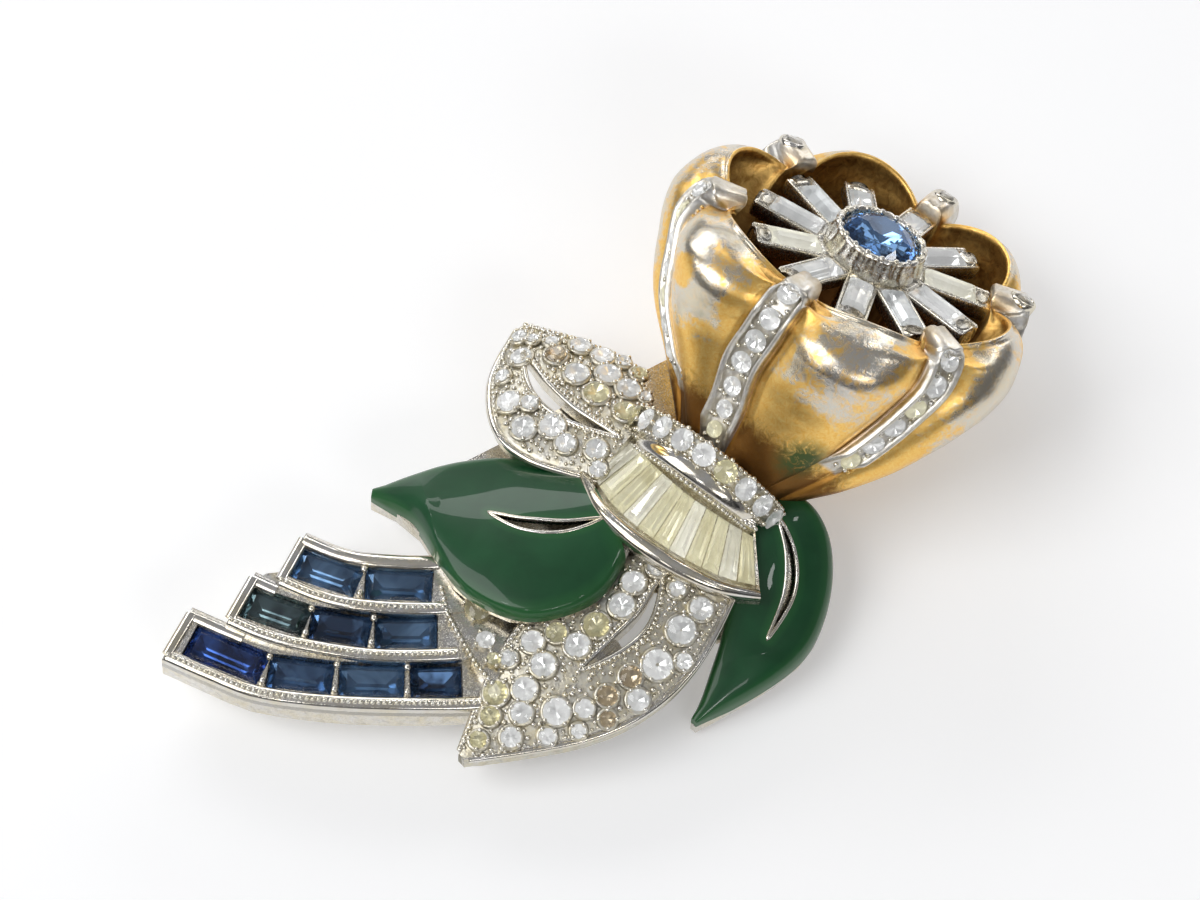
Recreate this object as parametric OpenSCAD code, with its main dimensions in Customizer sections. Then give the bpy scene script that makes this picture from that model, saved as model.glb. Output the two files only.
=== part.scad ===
// Flower clip of a double clip brooch, millimetres.
// The clip lies on its back: the lever is underneath, the tail of blue stones
// points to -X and the hollow flower with its star opens to +X and upwards.

/* [Flower] */
// Wall of the hollow cup
cup_wall = 0.9; // [0.7:0.05:1.1]
// How far the petals are puffed out between their seams, against the table
petal_puff = 1; // [0.6:0.1:1.2]
// Width of the stone-set strips on the seams
strip_w = 2.0; // [1.6:0.1:2.2]
// Height of the strips above the petals
strip_h = 0.9; // [0.6:0.1:1]

/* [Star] */
// Radius from the star's centre to the tip of a ray
star_r = 7.6; // [7:0.1:7.8]
// Width of one ray's trough, outside
ray_w = 2.0; // [1.8:0.1:2.2]
// Depth of one ray's trough, outside
ray_d = 1.4; // [1.2:0.1:1.6]
// Diameter of the round centre stone
centre_d = 4.8; // [4.4:0.1:5]
// Height of the collar under the centre stone
collar_h = 2.2; // [1.8:0.1:2.4]

/* [Stones] */
// Gap between a stone and its metal seat
gap = 0.06; // [0.04:0.01:0.1]
// Width of a blue tail stone
tail_stone_w = 2.05; // [1.8:0.05:2.2]
// Thickness of the wall between two tail rows
tail_wall = 0.85; // [0.7:0.05:0.95]

/* [Leaves] */
// Thickness of the metal leaves
leaf_t = 1.1; // [0.9:0.1:1.3]
// Thickness of the enamel on the green leaves
enamel_t = 0.5; // [0.4:0.05:0.6]

/* [Lever] */
// Thickness of the lever's plate
lever_t = 0.9; // [0.7:0.1:1]
// Height of the lever's turned-up edge above the surface it lies on
lever_edge = 1.6; // [1.4:0.1:1.7]
// Radius of the hinge pin
pin_r = 0.5; // [0.4:0.05:0.6]
// Outside radius of the hinge barrel and lugs
barrel_r = 1.1; // [1:0.05:1.15]

/* [Hidden] */

// The tables are measured from the flower's mouth; this moves the origin to the
// middle of the clip's footprint on the surface it lies on
ORIGIN = [21.22, 4.78, 0];

// Flower: foot of its axis and the direction it opens to
AX = -1.84; AY = -1.22; AZ = 20.5;
// Sections of the cup, neck to mouth:
// along, height, tilt, half width, half height above, half height below, puff, sideways
CUP = [
  [-16.8,  4.9, 12,  2.7, 2.5,  1.3, 0.0, -0.8],
  [-15.0,  5.6, 16,  3.4, 2.6,  2.0, 0.3, -1.0],
  [-12.2,  6.8, 25,  5.4, 3.4,  4.2, 0.8, -0.9],
  [ -9.0,  8.0, 34,  7.8, 4.8,  8.3, 1.1, -0.2],
  [ -6.0,  9.1, 43,  9.1, 6.4, 11.1, 1.2,  0.0],
  [ -3.0, 10.2, 51, 10.0, 7.9, 11.1, 0.8,  0.2],
  [  0.0, 11.2, 57,  9.8, 8.8, 10.1, 0.2,  0.3]];
// Collar band round the neck: the same columns
NECK = [
  [-16.8, 4.9, 12, 3.3, 2.9, 1.3, 0, 0],
  [-15.0, 5.6, 16, 3.8, 3.2, 2.0, 0, -0.1],
  [-12.2, 6.8, 25, 5.0, 4.2, 4.2, 0, -0.2]];
// Strips on the seams: angle round the cup from its upper side at the mouth, start, end,
// turn at the neck
STRIPS = [[0, 0.19, 0.97, 24], [60, 0.3, 0.94, 12], [120, 0.34, 0.92, 0],
          [180, 0.42, 0.92, 0], [240, 0.34, 0.92, 0], [300, 0.36, 0.94, -14]];
// Share of the cup's length where its inner floor lies
FLOOR = 0.34;

// Star: centre of its face, direction, turn of the first ray
STAR_C = [-1.79, -1.12, 9.55]; STAR_AZ = 20.5; STAR_EL = 58;
RAYS = 11; RAY_TURN = 3.7;
RAY_IN = 2.9; RAY_STONE_W = 1.5; RAY_STONE_L = 3.7;

// Fan edges from the +Y side to the -Y side: x, y, z
FAN_OUT = [[-22.9, -3.6, 6.5], [-23.5, -6.2, 7.6], [-23.2, -8.6, 8.0], [-22.4, -10.8, 8.0],
           [-21.3, -12.6, 7.6], [-19.9, -14.1, 6.9], [-18.0, -15.2, 5.9]];
FAN_IN  = [[-18.9, -3.2, 6.8], [-18.6, -5.8, 7.6], [-18.1, -8.1, 7.8], [-17.2, -10.0, 7.4],
           [-16.2, -11.6, 6.6]];
FANS = 11;

// Tail rows, free end to root: x, y, height of the wall top
ROW_LONG  = [[-47.85, 0.0, 3.9], [-46.2, -2.5, 4.0], [-44.6, -4.65, 4.1], [-41.5, -7.1, 4.2],
             [-38.0, -9.3, 4.2], [-34.6, -11.1, 4.0], [-31.5, -12.3, 3.9]];
ROW_MID   = [[-43.7, -0.05, 4.4], [-42.5, -1.8, 4.4], [-41.0, -3.4, 4.45], [-38.1, -5.8, 4.5],
             [-34.6, -7.8, 4.5], [-31.5, -9.1, 4.4]];
ROW_SHORT = [[-39.95, 0.65, 4.5], [-38.6, -1.3, 4.55], [-37.0, -2.9, 4.7], [-33.9, -4.95, 4.8],
             [-31.0, -6.1, 4.7]];
// Tail stones: row, start, end along the row
TAIL = [[ROW_SHORT, 0.05, 0.46], [ROW_SHORT, 0.495, 0.755],
        [ROW_MID, 0.045, 0.385], [ROW_MID, 0.40, 0.585], [ROW_MID, 0.60, 0.775],
        [ROW_LONG, 0.06, 0.325], [ROW_LONG, 0.34, 0.495], [ROW_LONG, 0.51, 0.66], [ROW_LONG, 0.675, 0.80]];
TAIL_BOTTOM = 2.1;

// Leaves, root to tip: x, y, z of one edge and of the other
PAVE1_A = [[-17.3, -2.4, 6.3], [-16.5, 0.6, 5.8], [-17.2, 2.9, 5.5], [-18.6, 5.0, 5.2], [-20.4, 7.3, 4.7]];
PAVE1_B = [[-22.6, -4.6, 6.5], [-25.2, -1.4, 6.3], [-25.8, 1.5, 5.9], [-24.1, 4.9, 5.1], [-20.9, 7.3, 4.6]];
PAVE2_A = [[-19.2, -14.4, 5.4], [-21.4, -15.9, 5.1], [-23.3, -16.9, 4.7], [-25.6, -17.6, 4.3],
           [-28.2, -17.8, 4.0], [-31.0, -17.3, 3.6], [-34.0, -16.2, 3.3], [-37.4, -14.8, 3.1]];
PAVE2_B = [[-21.8, -9.2, 5.8], [-24.0, -9.4, 6.0], [-26.2, -9.6, 5.9], [-28.6, -9.7, 5.6],
           [-30.8, -9.9, 5.2], [-32.8, -10.8, 4.6], [-35.0, -12.3, 3.9], [-37.5, -14.3, 3.1]];
BIG_A = [[-23.4, -9.6, 7.1], [-26.0, -11.1, 7.2], [-28.6, -11.2, 7.3], [-31.0, -10.1, 7.1],
         [-32.7, -7.3, 6.6], [-33.0, -4.3, 6.2], [-32.9, -1.0, 5.4], [-33.9, 2.0, 4.3]];
BIG_B = [[-22.6, -4.0, 6.0], [-24.2, -1.8, 5.5], [-26.0, 0.1, 5.1], [-27.8, 1.2, 4.7],
         [-29.4, 1.8, 4.5], [-30.9, 2.1, 4.4], [-32.0, 2.3, 4.3], [-33.5, 2.5, 4.2]];
SMALL_A = [[-13.7, -9.4, 5.4], [-12.3, -11.3, 5.6], [-12.0, -13.3, 4.6], [-12.9, -15.4, 3.3],
           [-14.7, -17.3, 2.6], [-16.9, -18.6, 2.5], [-20.0, -19.1, 2.4], [-24.3, -18.9, 1.7]];
SMALL_B = [[-17.0, -11.2, 5.1], [-18.0, -12.4, 5.1], [-18.9, -13.6, 4.9], [-19.9, -14.8, 4.4],
           [-21.0, -15.9, 3.8], [-22.2, -16.9, 3.1], [-23.3, -17.8, 2.4], [-24.4, -18.5, 1.7]];
// Slits: x, y along the slit
SLIT_PAVE1 = [[-21.8, 5.0], [-22.3, 2.6], [-21.9, 0.0], [-20.2, -3.2]];
SLIT_PAVE2 = [[-22.4, -11.6], [-24.6, -13.3], [-26.9, -13.9], [-29.4, -14.1]];
SLIT_BIG   = [[-23.9, -7.4], [-26.2, -6.6], [-28.0, -5.2], [-29.2, -3.4]];
SLIT_SMALL = [[-14.6, -11.6], [-15.0, -13.8], [-16.2, -15.6], [-18.6, -17.2]];

// Lever: outline of its plate, hinge axis, end of the plate next to the hinge
LEVER = [[-16.3, 0.7], [-17.2, 1.4], [-21.0, 1.2], [-25.5, 0.2], [-29.5, -1.5], [-32.5, -2.7], [-34.8, -2.8],
         [-36.6, -1.8], [-38.0, -0.2], [-39.4, 1.2], [-41.0, 1.9], [-42.6, 1.5], [-43.8, 0.4], [-44.4, -1.2],
         [-44.2, -3.2], [-43.1, -5.3], [-41.3, -7.3], [-39.0, -9.0], [-36.4, -10.3], [-33.2, -11.0], [-29.5, -11.1],
         [-25.5, -10.5], [-21.0, -9.6], [-17.2, -9.2], [-16.3, -8.4]];
PIN_X = -14.6; PIN_Z = 1.25; LEV_X = -16.3;
BARREL_Y = [-8.2, 0.6]; LUG_Y = [-9.35, 1.75]; LUG_GAP = 0.2;
PLATE_Z = 2.5; PLATE_T = 0.8;

GOLD = [0.83, 0.66, 0.33]; SILVER = [0.76, 0.75, 0.72]; GREEN = [0.10, 0.27, 0.15];
CLEAR = [0.86, 0.87, 0.86]; STRAW = [0.83, 0.82, 0.68]; BLUE = [0.20, 0.31, 0.44]; SKY = [0.36, 0.52, 0.78];

// ---- helpers ----
function unit(a) = a / norm(a);
function mixv(a, b, t) = a + (b - a) * t;
function cr(a, b, c, d, t) = 0.5 * (2 * b + (c - a) * t + (2 * a - 5 * b + 4 * c - d) * t * t
                                    + (3 * b - a - 3 * c + d) * t * t * t);
// Smooth curve through the rows of a table, x from 0 at the first row to 1 at the last
function along(T, x) = let (n = len(T) - 1, y = max(0, min(1, x)) * n, i = min(floor(y), n - 1))
  cr(T[max(i - 1, 0)], T[i], T[i + 1], T[min(i + 2, n)], y - i);
function flat(p) = [p[0], p[1]];
function heading(T, x) = let (d = along(T, min(1, x + 0.02)) - along(T, max(0, x - 0.02))) unit([d[0], d[1]]);
function left(h) = [-h[1], h[0]];

// Closed solid through a list of rings with the same number of points
function total(v, i = 0) = i == len(v) - 1 ? v[i] : v[i] + total(v, i + 1);
function middle(r) = total(r) / len(r);
function area(r) = let (c = middle(r)) total([for (j = [0 : len(r) - 1]) cross(r[j] - c, r[(j + 1) % len(r)] - c)]);
module skin(rings) {
  n = len(rings); m = len(rings[0]);
  turn = area(rings[0]) * (middle(rings[1]) - middle(rings[0])) > 0;
  r = turn ? [for (q = rings) [for (j = [m - 1 : -1 : 0]) q[j]]] : rings;
  polyhedron(points = [for (q = r) each q], convexity = 8, faces = concat(
    [for (j = [1 : m - 2]) [0, j + 1, j]],
    [for (i = [0 : n - 2], j = [0 : m - 1]) let (a = i * m + j, b = i * m + (j + 1) % m) each
      [[a, b, b + m], [a, b + m, a + m]]],
    [for (j = [1 : m - 2]) let (o = (n - 1) * m) [o, o + j, o + j + 1]]));
}

// Cast surfaces that only blend into each other are taken together as one mesh
module cast() { resize([0, 0, 0]) union() children(); }

// Plan outline of a lens along a line of points
function lens(T, w, n = 10) = concat(
  [for (i = [0 : n]) let (p = along(T, i / n)) flat(p) + left(heading(T, i / n)) * w / 2 * sin(180 * i / n)],
  [for (i = [n - 1 : -1 : 1]) let (p = along(T, i / n)) flat(p) - left(heading(T, i / n)) * w / 2 * sin(180 * i / n)]);
module slit(T, w, z0, z1) { translate([0, 0, z0]) linear_extrude(z1 - z0) polygon(lens(T, w)); }

// Domed leaf between two edge tables, from lo to hi against its surface
function leaf_p(A, B, w, t, crown) = mixv(along(A, w), along(B, w), t)
  + [0, 0, crown * min(1, 3.2 * (1.02 - w)) * pow(max(0, sin(180 * t)), 0.8)];
module leaf(A, B, crown, lo, hi, inset = 0.01, w0 = 0, w1 = 1, n = 5, steps = 11) {
  skin([for (i = [0 : steps]) let (w = w0 + (w1 - w0) * i / steps) concat(
    [for (j = [0 : n]) leaf_p(A, B, w, inset + (1 - 2 * inset) * j / n, crown) + [0, 0, hi]],
    [for (j = [n : -1 : 0]) leaf_p(A, B, w, inset + (1 - 2 * inset) * j / n, crown) + [0, 0, lo]])]);
}

// ---- flower ----
function bump(u) = pow(abs(sin(3 * u)), 0.7);
function cup_p(w, u, o, h = 0, T = CUP) = let (g = along(T, w), c = cos(u), e = g[2], a = g[7] + (g[3] + o) * sin(u),
    b = ((c > 0 ? g[4] : g[5]) + o) * c, s = g[0] - sin(e) * b + h * cos(e))
  [AX + s * cos(AZ) - a * sin(AZ), AY + s * sin(AZ) + a * cos(AZ), g[1] + cos(e) * b + h * sin(e)];
function cup_o(w, u) = petal_puff * along(CUP, w)[6] * bump(u);
function cup_in(w) = [for (j = [0 : CUP_N - 1]) let (u = 360 * j / CUP_N) cup_p(w, u, cup_o(w, u) - cup_wall)];
PETAL_N = 5; CUP_N = 6 * (PETAL_N + 4);
// One outer ring: each seam carries a raised strip of constant width, petals between
function seam(w, q) = q[0] + q[3] * pow(1 - w, 2);
function half_a(w) = strip_w / 2 * 57.3 / (along(CUP, w)[3] + 1);
function rise(w, q) = strip_h * max(0, min(1, (w - q[1]) * 14));
function cup_out(w, h = 0, o = 0) = [for (k = [0 : 5]) let (q = STRIPS[k], u = seam(w, q),
    v = seam(w, STRIPS[(k + 1) % 6]) + (k == 5 ? 360 : 0), a = half_a(w), s = rise(w, q)) each concat(
  [cup_p(w, u - a, cup_o(w, a) + o + 0.02 * s, h), cup_p(w, u - a * 0.8, s + o, h * 1.6),
   cup_p(w, u + a * 0.8, s + o, h * 1.6), cup_p(w, u + a, cup_o(w, a) + o + 0.02 * s, h)],
  [for (j = [1 : PETAL_N]) let (x = u + a + (v - u - 2 * a) * j / (PETAL_N + 1))
    cup_p(w, x, cup_o(w, 60 * (x - u) / (v - u)) + o, h)])];
module flower_cup() color(GOLD) skin(concat([for (i = [0 : 13]) cup_out(i / 13)],
  [cup_out(1, 0.3, -cup_wall * 0.3), cup_out(1, 0.3, -cup_wall * 0.8)],
  [for (i = [1 : 7]) cup_in(1 - (1 - FLOOR) * i / 7)]));

// Space the cup needs, cut out of the casting and the small leaf
module cup_space() {
  skin([for (i = [0 : 6]) let (w = i / 6 * 0.72) [for (j = [0 : 23]) let (u = 15 * j)
    cup_p(w, u, cup_o(w, u) * 0.6 + 0.446 + (i > 1 && (u < 40 || u > 300) ? 0.3 : 0), i == 0 ? -0.127 : 0)]]);
}

// ---- star ----
module in_star() { translate(STAR_C) rotate([0, 90 - STAR_EL, STAR_AZ]) children(); }
module ray_solid() rotate([0, 90, 0]) translate([0, 0, 2]) linear_extrude(star_r - 2) union() {
  translate([0, -ray_w / 2]) square([ray_d - ray_w / 2, ray_w]);
  translate([ray_d - ray_w / 2, 0]) circle(d = ray_w, $fn = 32);
}
module trembler_star() color(SILVER) in_star() difference() {
  union() {
    translate([0, 0, -ray_d + 0.1]) cylinder(r1 = 2.5, r2 = 3.1, h = ray_d, $fn = 48);
    cylinder(r1 = 3.15, r2 = 2.85, h = collar_h, $fn = 48);
    for (k = [0 : RAYS - 1]) rotate([0, 0, RAY_TURN + 360 * k / RAYS]) ray_solid();
  }
  translate([0, 0, collar_h - 0.7]) cylinder(d = centre_d + 2 * gap, h = 2, $fn = 48);
  translate([0, 0, collar_h - 1.8]) cylinder(r1 = 1.05, r2 = centre_d / 2 + gap, h = 1.2, $fn = 48);
  for (k = [0 : RAYS - 1]) rotate([0, 0, RAY_TURN + 360 * k / RAYS])
    translate([RAY_IN + 0.45, -RAY_STONE_W / 2 - gap, -0.8])
      cube([RAY_STONE_L + 2 * gap, RAY_STONE_W + 2 * gap, 2]);
}
module star_post() color(SILVER) in_star() translate([0, 0, -6.3]) cylinder(r = 0.9, h = 6.3 - ray_d, $fn = 32);
function disc_ring(r, z, n = 16) = [for (i = [0 : n - 1]) [r * cos(360 * i / n), r * sin(360 * i / n), z]];
module centre_stone() color(SKY) in_star() translate([0, 0, collar_h - 0.55])
  skin([disc_ring(0.9, -1.1), disc_ring(centre_d / 2, 0.02), disc_ring(centre_d / 2, 0.3),
        disc_ring(centre_d * 0.36, 0.95), disc_ring(0.7, 1.35)]);
function box_ring(x0, x1, w, z) = [[x0, -w / 2, z], [x1, -w / 2, z], [x1, w / 2, z], [x0, w / 2, z]];
module star_baguette(k) color(CLEAR) in_star() rotate([0, 0, RAY_TURN + 360 * (k - 1) / RAYS])
  translate([RAY_IN + 0.45 + gap, 0, 0]) skin([
    box_ring(0.25, RAY_STONE_L - 0.25, RAY_STONE_W - 0.5, -0.74),
    box_ring(0, RAY_STONE_L, RAY_STONE_W, -0.2), box_ring(0, RAY_STONE_L, RAY_STONE_W, 0.0),
    box_ring(0.35, RAY_STONE_L - 0.35, RAY_STONE_W - 0.7, 0.3)]);

// ---- fan ----
function fan_p(th, r, h) = mixv(along(FAN_IN, th), along(FAN_OUT, th), r) + [0, 0, h];
FAN_N = 13;
function fan_o(t) = unit([each flat(along(FAN_OUT, t) - along(FAN_IN, t)), 0]);
// Section of the tray: ridge on the narrow side, floor, crescent rim on the wide side
function fan_sec(t, fl) = let (a = along(FAN_IN, t), c = along(FAN_OUT, t), o = fan_o(t), f = 0.45 + 0.55 * sin(180 * t),
    z = [0, 0, 1])
  [a - 0.6 * o - 2.5 * z, a - 0.6 * o - 0.45 * z, a - 0.44 * o + 0.16 * z, a + 0.35 * z, a + 0.44 * o + 0.12 * z,
   a + 0.55 * o + min(fl, 0) * z, fan_p(t, 0.885, fl), c + o * (0.1 - 0.5 * f) - 0.17 * f * z, c + 0.1 * o + 0.1 * f * z,
   c + o * (0.1 + 0.45 * f) - 0.15 * f * z, c + o * (0.1 + 0.6 * f) - 0.75 * f * z, c + o * (0.1 + 0.4 * f) - 1.25 * f * z,
   c - 2.486 * z];
module fan_tray() skin(concat([fan_sec(0, -0.2), fan_sec(0.0235, -0.2)],
  [for (i = [0 : FAN_N]) fan_sec(0.0265 + 0.947 * i / FAN_N, -1.08)], [fan_sec(0.975, -0.2), fan_sec(1, -0.2)]));
// Space of the stones, and the whole fan with a gap round it
module fan_space() skin([for (i = [0 : 9]) let (t = 0.01 + 0.976 * i / 9)
  [fan_p(t, 0.09, 1.2), fan_p(t, 0.95, 1.2), fan_p(t, 0.93, -1.5), fan_p(t, 0.08, -1.5)]]);
module fan_block() skin([for (i = [0 : FAN_N]) let (t = i / FAN_N, q = fan_p(t, 1, 0) + fan_o(t) * 0.85,
    d = i == 0 ? [0.1, 0.3, 0] : i == FAN_N ? [0.12, -0.12, 0] : [0, 0, 0])
  [fan_p(t, -0.4, 1.5) + d, q + d + [0, 0, 1.5], q + d - [0, 0, 2.6], fan_p(t, -0.4, -2.6) + d]]);
function fan_ring(a, b, r0, r1, h) = [fan_p(a, r0, h), fan_p(a, r1, h), fan_p(b, r1, h), fan_p(b, r0, h)];
module fan_baguette(k) color(STRAW) {
  d = 0.95 / FANS; a = 0.025 + d * (k - 1) + 0.004; b = 0.025 + d * k - 0.004; e = 0.013;
  skin([fan_ring(a + e, b - e, 0.20, 0.84, -0.98), fan_ring(a, b, 0.17, 0.865, -0.55),
        fan_ring(a, b, 0.17, 0.865, -0.3), fan_ring(a + e * 1.5, b - e * 1.5, 0.22, 0.80, -0.05)]);
}

// ---- tail ----
function tail_p(T, x, y, z) = let (p = along(T, x), n = left(heading(T, x))) [p[0] + n[0] * y, p[1] + n[1] * y, z];
module tail_bar(T, hw, x0, x1, steps = 12) {
  skin([for (i = [0 : steps]) let (x = x0 + (x1 - x0) * i / steps, z = along(T, x)[2])
    [tail_p(T, x, -hw, z), tail_p(T, x, -hw, TAIL_BOTTOM), tail_p(T, x, hw, TAIL_BOTTOM), tail_p(T, x, hw, z)]]);
}
// Corners of one stone, straight between its two ends
function tail_ring(T, a, b, w, i, z) = let (d = unit(flat(along(T, b) - along(T, a))),
    l = norm(flat(along(T, b) - along(T, a))), n = left(d), p = flat(along(T, a)))
  [for (c = [[i, -1], [l - i, -1], [l - i, 1], [i, 1]]) concat(p + d * c[0] + n * c[1] * (w - i), [z])];
module tail_stone(k) color(k == 6 ? SKY : BLUE) {
  q = TAIL[k - 1]; z = along(q[0], (q[1] + q[2]) / 2)[2] - 0.25;
  skin([for (r = [[0.35, -0.95], [0, -0.4], [0, -0.15], [0.4, 0.15]])
    tail_ring(q[0], q[1], q[2], tail_stone_w / 2, r[0], z + r[1])]);
}

// Seat cut for one stone
module tail_seat(q) {
  z = along(q[0], (q[1] + q[2]) / 2)[2];
  skin([for (h = [-1.27, 3]) tail_ring(q[0], q[1], q[2], tail_stone_w / 2, -gap, z + h)]);
}

// ---- base ----
module neck_block() skin([for (r = [[0, -1.1], [0, 0], [0.5, 0], [0.5, 0.1]])
  [for (j = [0 : 23]) cup_p(r[0], 15 * j, 1.6, r[1], NECK)]]);
module large_space(lo, hi) leaf(BIG_A, BIG_B, 1.2, lo, hi, -0.01);
module small_space(lo, hi) leaf(SMALL_A, SMALL_B, 0.8, lo, hi, -0.01);
module collar() {
  // cast band round the upper side of the flower's neck
  R = [[0, 1.526, -1.0], [0.2, 1.48, 0], [0.5, 1.3, 0]];
  skin([for (i = [0 : 18]) let (u = -127.935 + 256 * i / 18) concat(
    [for (r = R) cup_p(r[0], u, r[1], r[2], NECK)],
    [cup_p(0.5, u, 0.15, 0, NECK), cup_p(0.2, u, 0.1, 0, NECK), cup_p(0, u, 0.1, -1.0, NECK)])]);
}
module under_frame() {
  difference() {
    union() {
      tail_bar(ROW_LONG, tail_stone_w / 2 + tail_wall, 0, 0.94);
      tail_bar(ROW_MID, tail_stone_w / 2 + tail_wall, 0, 0.92);
      tail_bar(ROW_SHORT, tail_stone_w / 2 + tail_wall, 0, 0.93);
    }
    for (q = TAIL) tail_seat(q);
  }
  // paved gusset between the tail and the lower leaf
  translate([0, 0, TAIL_BOTTOM]) linear_extrude(2.56)
    polygon([[-33.3, -5.2], [-31.0, -5.2], [-29.6, -9.6], [-34.0, -12.2], [-34.2, -11.0], [-34.0, -8.4]]);
  // riser from the back plate to the fan
  skin([[[-26.0, -9.4, 2.6], [-17.4, -9.4, 2.6], [-17.4, 0.0, 2.6], [-26.0, 0.0, 2.6]],
        [[-22.6, -12.4, 5.55], [-18.3, -11.0, 5.6], [-18.9, -4.4, 5.2], [-23.0, -3.6, 5.0]]]);
  // spine and ribs under the leaves
  translate([-36.6, -9.0, TAIL_BOTTOM + 0.05]) cube([15.5, 5.7, 0.9]);
  translate([-31.4, -9.0, 2.6]) cube([1.6, 9.7, 1.9]);
  translate([-31.4, -9.0, 3.0]) cube([1.6, 7.0, 2.75]);
  translate([-28.0, -14.8, 2.3]) cube([1.6, 8.0, 2.4]);
  translate([-23.5, -3.4, 2.6]) cube([4.2, 4.5, 2.75]);
  translate([-21.0, -15.6, 2.74]) cube([3.4, 8.0, 0.9]);
}
module ornament() union() {
  difference() {
    fan_tray();
    cup_space();
  }
  difference() {
    union() {
      difference() {
        under_frame();
        large_space(-enamel_t - gap - 0.3, 1);
        small_space(-enamel_t - gap - 0.3, 1);
      }
      difference() {
        leaf(PAVE1_A, PAVE1_B, 0.78, -leaf_t, 0);
        slit(SLIT_PAVE1, 1.05, 2, 9);
      }
      difference() {
        leaf(PAVE2_A, PAVE2_B, 0.633, -leaf_t, 0);
        slit(SLIT_PAVE2, 0.92, 2, 9);
        large_space(-enamel_t - gap - 0.22, 1);
        small_space(-enamel_t - gap - 0.2, 1);
      }
      difference() {
        leaf(BIG_A, BIG_B, 1.2, -enamel_t - gap - leaf_t * 0.98, -enamel_t - gap);
        slit(SLIT_BIG, 0.878, 5.8, 9);
      }
      leaf(SMALL_A, SMALL_B, 0.8, -enamel_t - gap - leaf_t * 0.75, -enamel_t - gap);
      collar();
      // back plate
      translate([0, 0, PLATE_Z]) linear_extrude(PLATE_T)
        polygon([[-28, -9.35], [-13.6, -9.35], [-12.6, -8.4], [-12.6, 0.8], [-13.6, 1.75], [-28, 1.75]]);
    }
    cup_space();
    fan_space();
  }
}
module base_casting() color(SILVER) difference() {
  union() {
    cast() ornament();
    // hinge lugs
    for (y = [[LUG_Y[0], BARREL_Y[0] - LUG_GAP], [BARREL_Y[1] + LUG_GAP, LUG_Y[1]]]) {
      translate([PIN_X, y[0], PIN_Z]) rotate([-90, 0, 0]) cylinder(r = barrel_r, h = y[1] - y[0], $fn = 32);
      translate([PIN_X - barrel_r, y[0], PIN_Z]) cube([2 * barrel_r, y[1] - y[0], PLATE_Z + 0.2 - PIN_Z]);
    }
  }
  translate([PIN_X, LUG_Y[0] - 1, PIN_Z]) rotate([-90, 0, 0]) cylinder(r = pin_r + 0.02, h = 14, $fn = 32);
}
module large_leaf_enamel() color(GREEN) cast() difference() {
  leaf(BIG_A, BIG_B, 1.2, 0.02 - enamel_t, 0, 0.01, 0.033, 1);
  slit(SLIT_BIG, 0.8, 2, 12);
  fan_block();
  leaf(PAVE1_A, PAVE1_B, 0.8, -leaf_t - gap, 3, -0.02);
}
module small_leaf_enamel() color(GREEN) cast() difference() {
  leaf(SMALL_A, SMALL_B, 0.8, -enamel_t, 0, 0.01, 0.035, 1);
  slit(SLIT_SMALL, 0.6, 2, 12);
  fan_block();
  neck_block();
  cup_space();
}

// ---- lever ----
function lever_n(i) = let (n = len(LEVER), d = unit(LEVER[(i + 1) % n] - LEVER[(i + n - 1) % n])) [-d[1], d[0]];
function lever_outline(o) = [for (i = [0 : len(LEVER) - 1]) LEVER[i] + lever_n(i) * o];
module clip_lever() color(SILVER) difference() {
  union() {
    linear_extrude(lever_t) polygon(lever_outline(0));
    difference() {
      linear_extrude(lever_edge) polygon(lever_outline(0));
      translate([0, 0, -1]) linear_extrude(lever_edge + 2) polygon(lever_outline(0.8));
      translate([LEV_X - 3, -9, -1]) cube([6, 10, 5]);
    }
    translate([LEV_X - 1, BARREL_Y[0], 0.15]) cube([PIN_X - LEV_X + 1, BARREL_Y[1] - BARREL_Y[0], lever_t]);
    translate([PIN_X, BARREL_Y[0], PIN_Z]) rotate([-90, 0, 0])
      cylinder(r = barrel_r, h = BARREL_Y[1] - BARREL_Y[0], $fn = 32);
  }
  translate([PIN_X, BARREL_Y[0] - 1, PIN_Z]) rotate([-90, 0, 0]) cylinder(r = pin_r + 0.06, h = 11, $fn = 32);
  translate([-41.8, -1.2, -1]) cylinder(r = 0.5, h = 4, $fn = 24);
}
module hinge_pin() color(SILVER) translate([PIN_X, LUG_Y[0] - 0.15, PIN_Z]) rotate([-90, 0, 0])
  cylinder(r = pin_r, h = LUG_Y[1] - LUG_Y[0] + 0.3, $fn = 32);

module at() { translate(ORIGIN) children(); }

at() base_casting();
at() large_leaf_enamel();
at() small_leaf_enamel();
at() flower_cup();
at() trembler_star();
at() star_post();
at() centre_stone();
at() star_baguette(1);  // star_baguette_01
at() star_baguette(2);  // star_baguette_02
at() star_baguette(3);  // star_baguette_03
at() star_baguette(4);  // star_baguette_04
at() star_baguette(5);  // star_baguette_05
at() star_baguette(6);  // star_baguette_06
at() star_baguette(7);  // star_baguette_07
at() star_baguette(8);  // star_baguette_08
at() star_baguette(9);  // star_baguette_09
at() star_baguette(10);  // star_baguette_10
at() star_baguette(11);  // star_baguette_11
at() fan_baguette(1);  // fan_baguette_01
at() fan_baguette(2);  // fan_baguette_02
at() fan_baguette(3);  // fan_baguette_03
at() fan_baguette(4);  // fan_baguette_04
at() fan_baguette(5);  // fan_baguette_05
at() fan_baguette(6);  // fan_baguette_06
at() fan_baguette(7);  // fan_baguette_07
at() fan_baguette(8);  // fan_baguette_08
at() fan_baguette(9);  // fan_baguette_09
at() fan_baguette(10);  // fan_baguette_10
at() fan_baguette(11);  // fan_baguette_11
at() tail_stone(1);  // tail_stone_01
at() tail_stone(2);  // tail_stone_02
at() tail_stone(3);  // tail_stone_03
at() tail_stone(4);  // tail_stone_04
at() tail_stone(5);  // tail_stone_05
at() tail_stone(6);  // tail_stone_06
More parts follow.
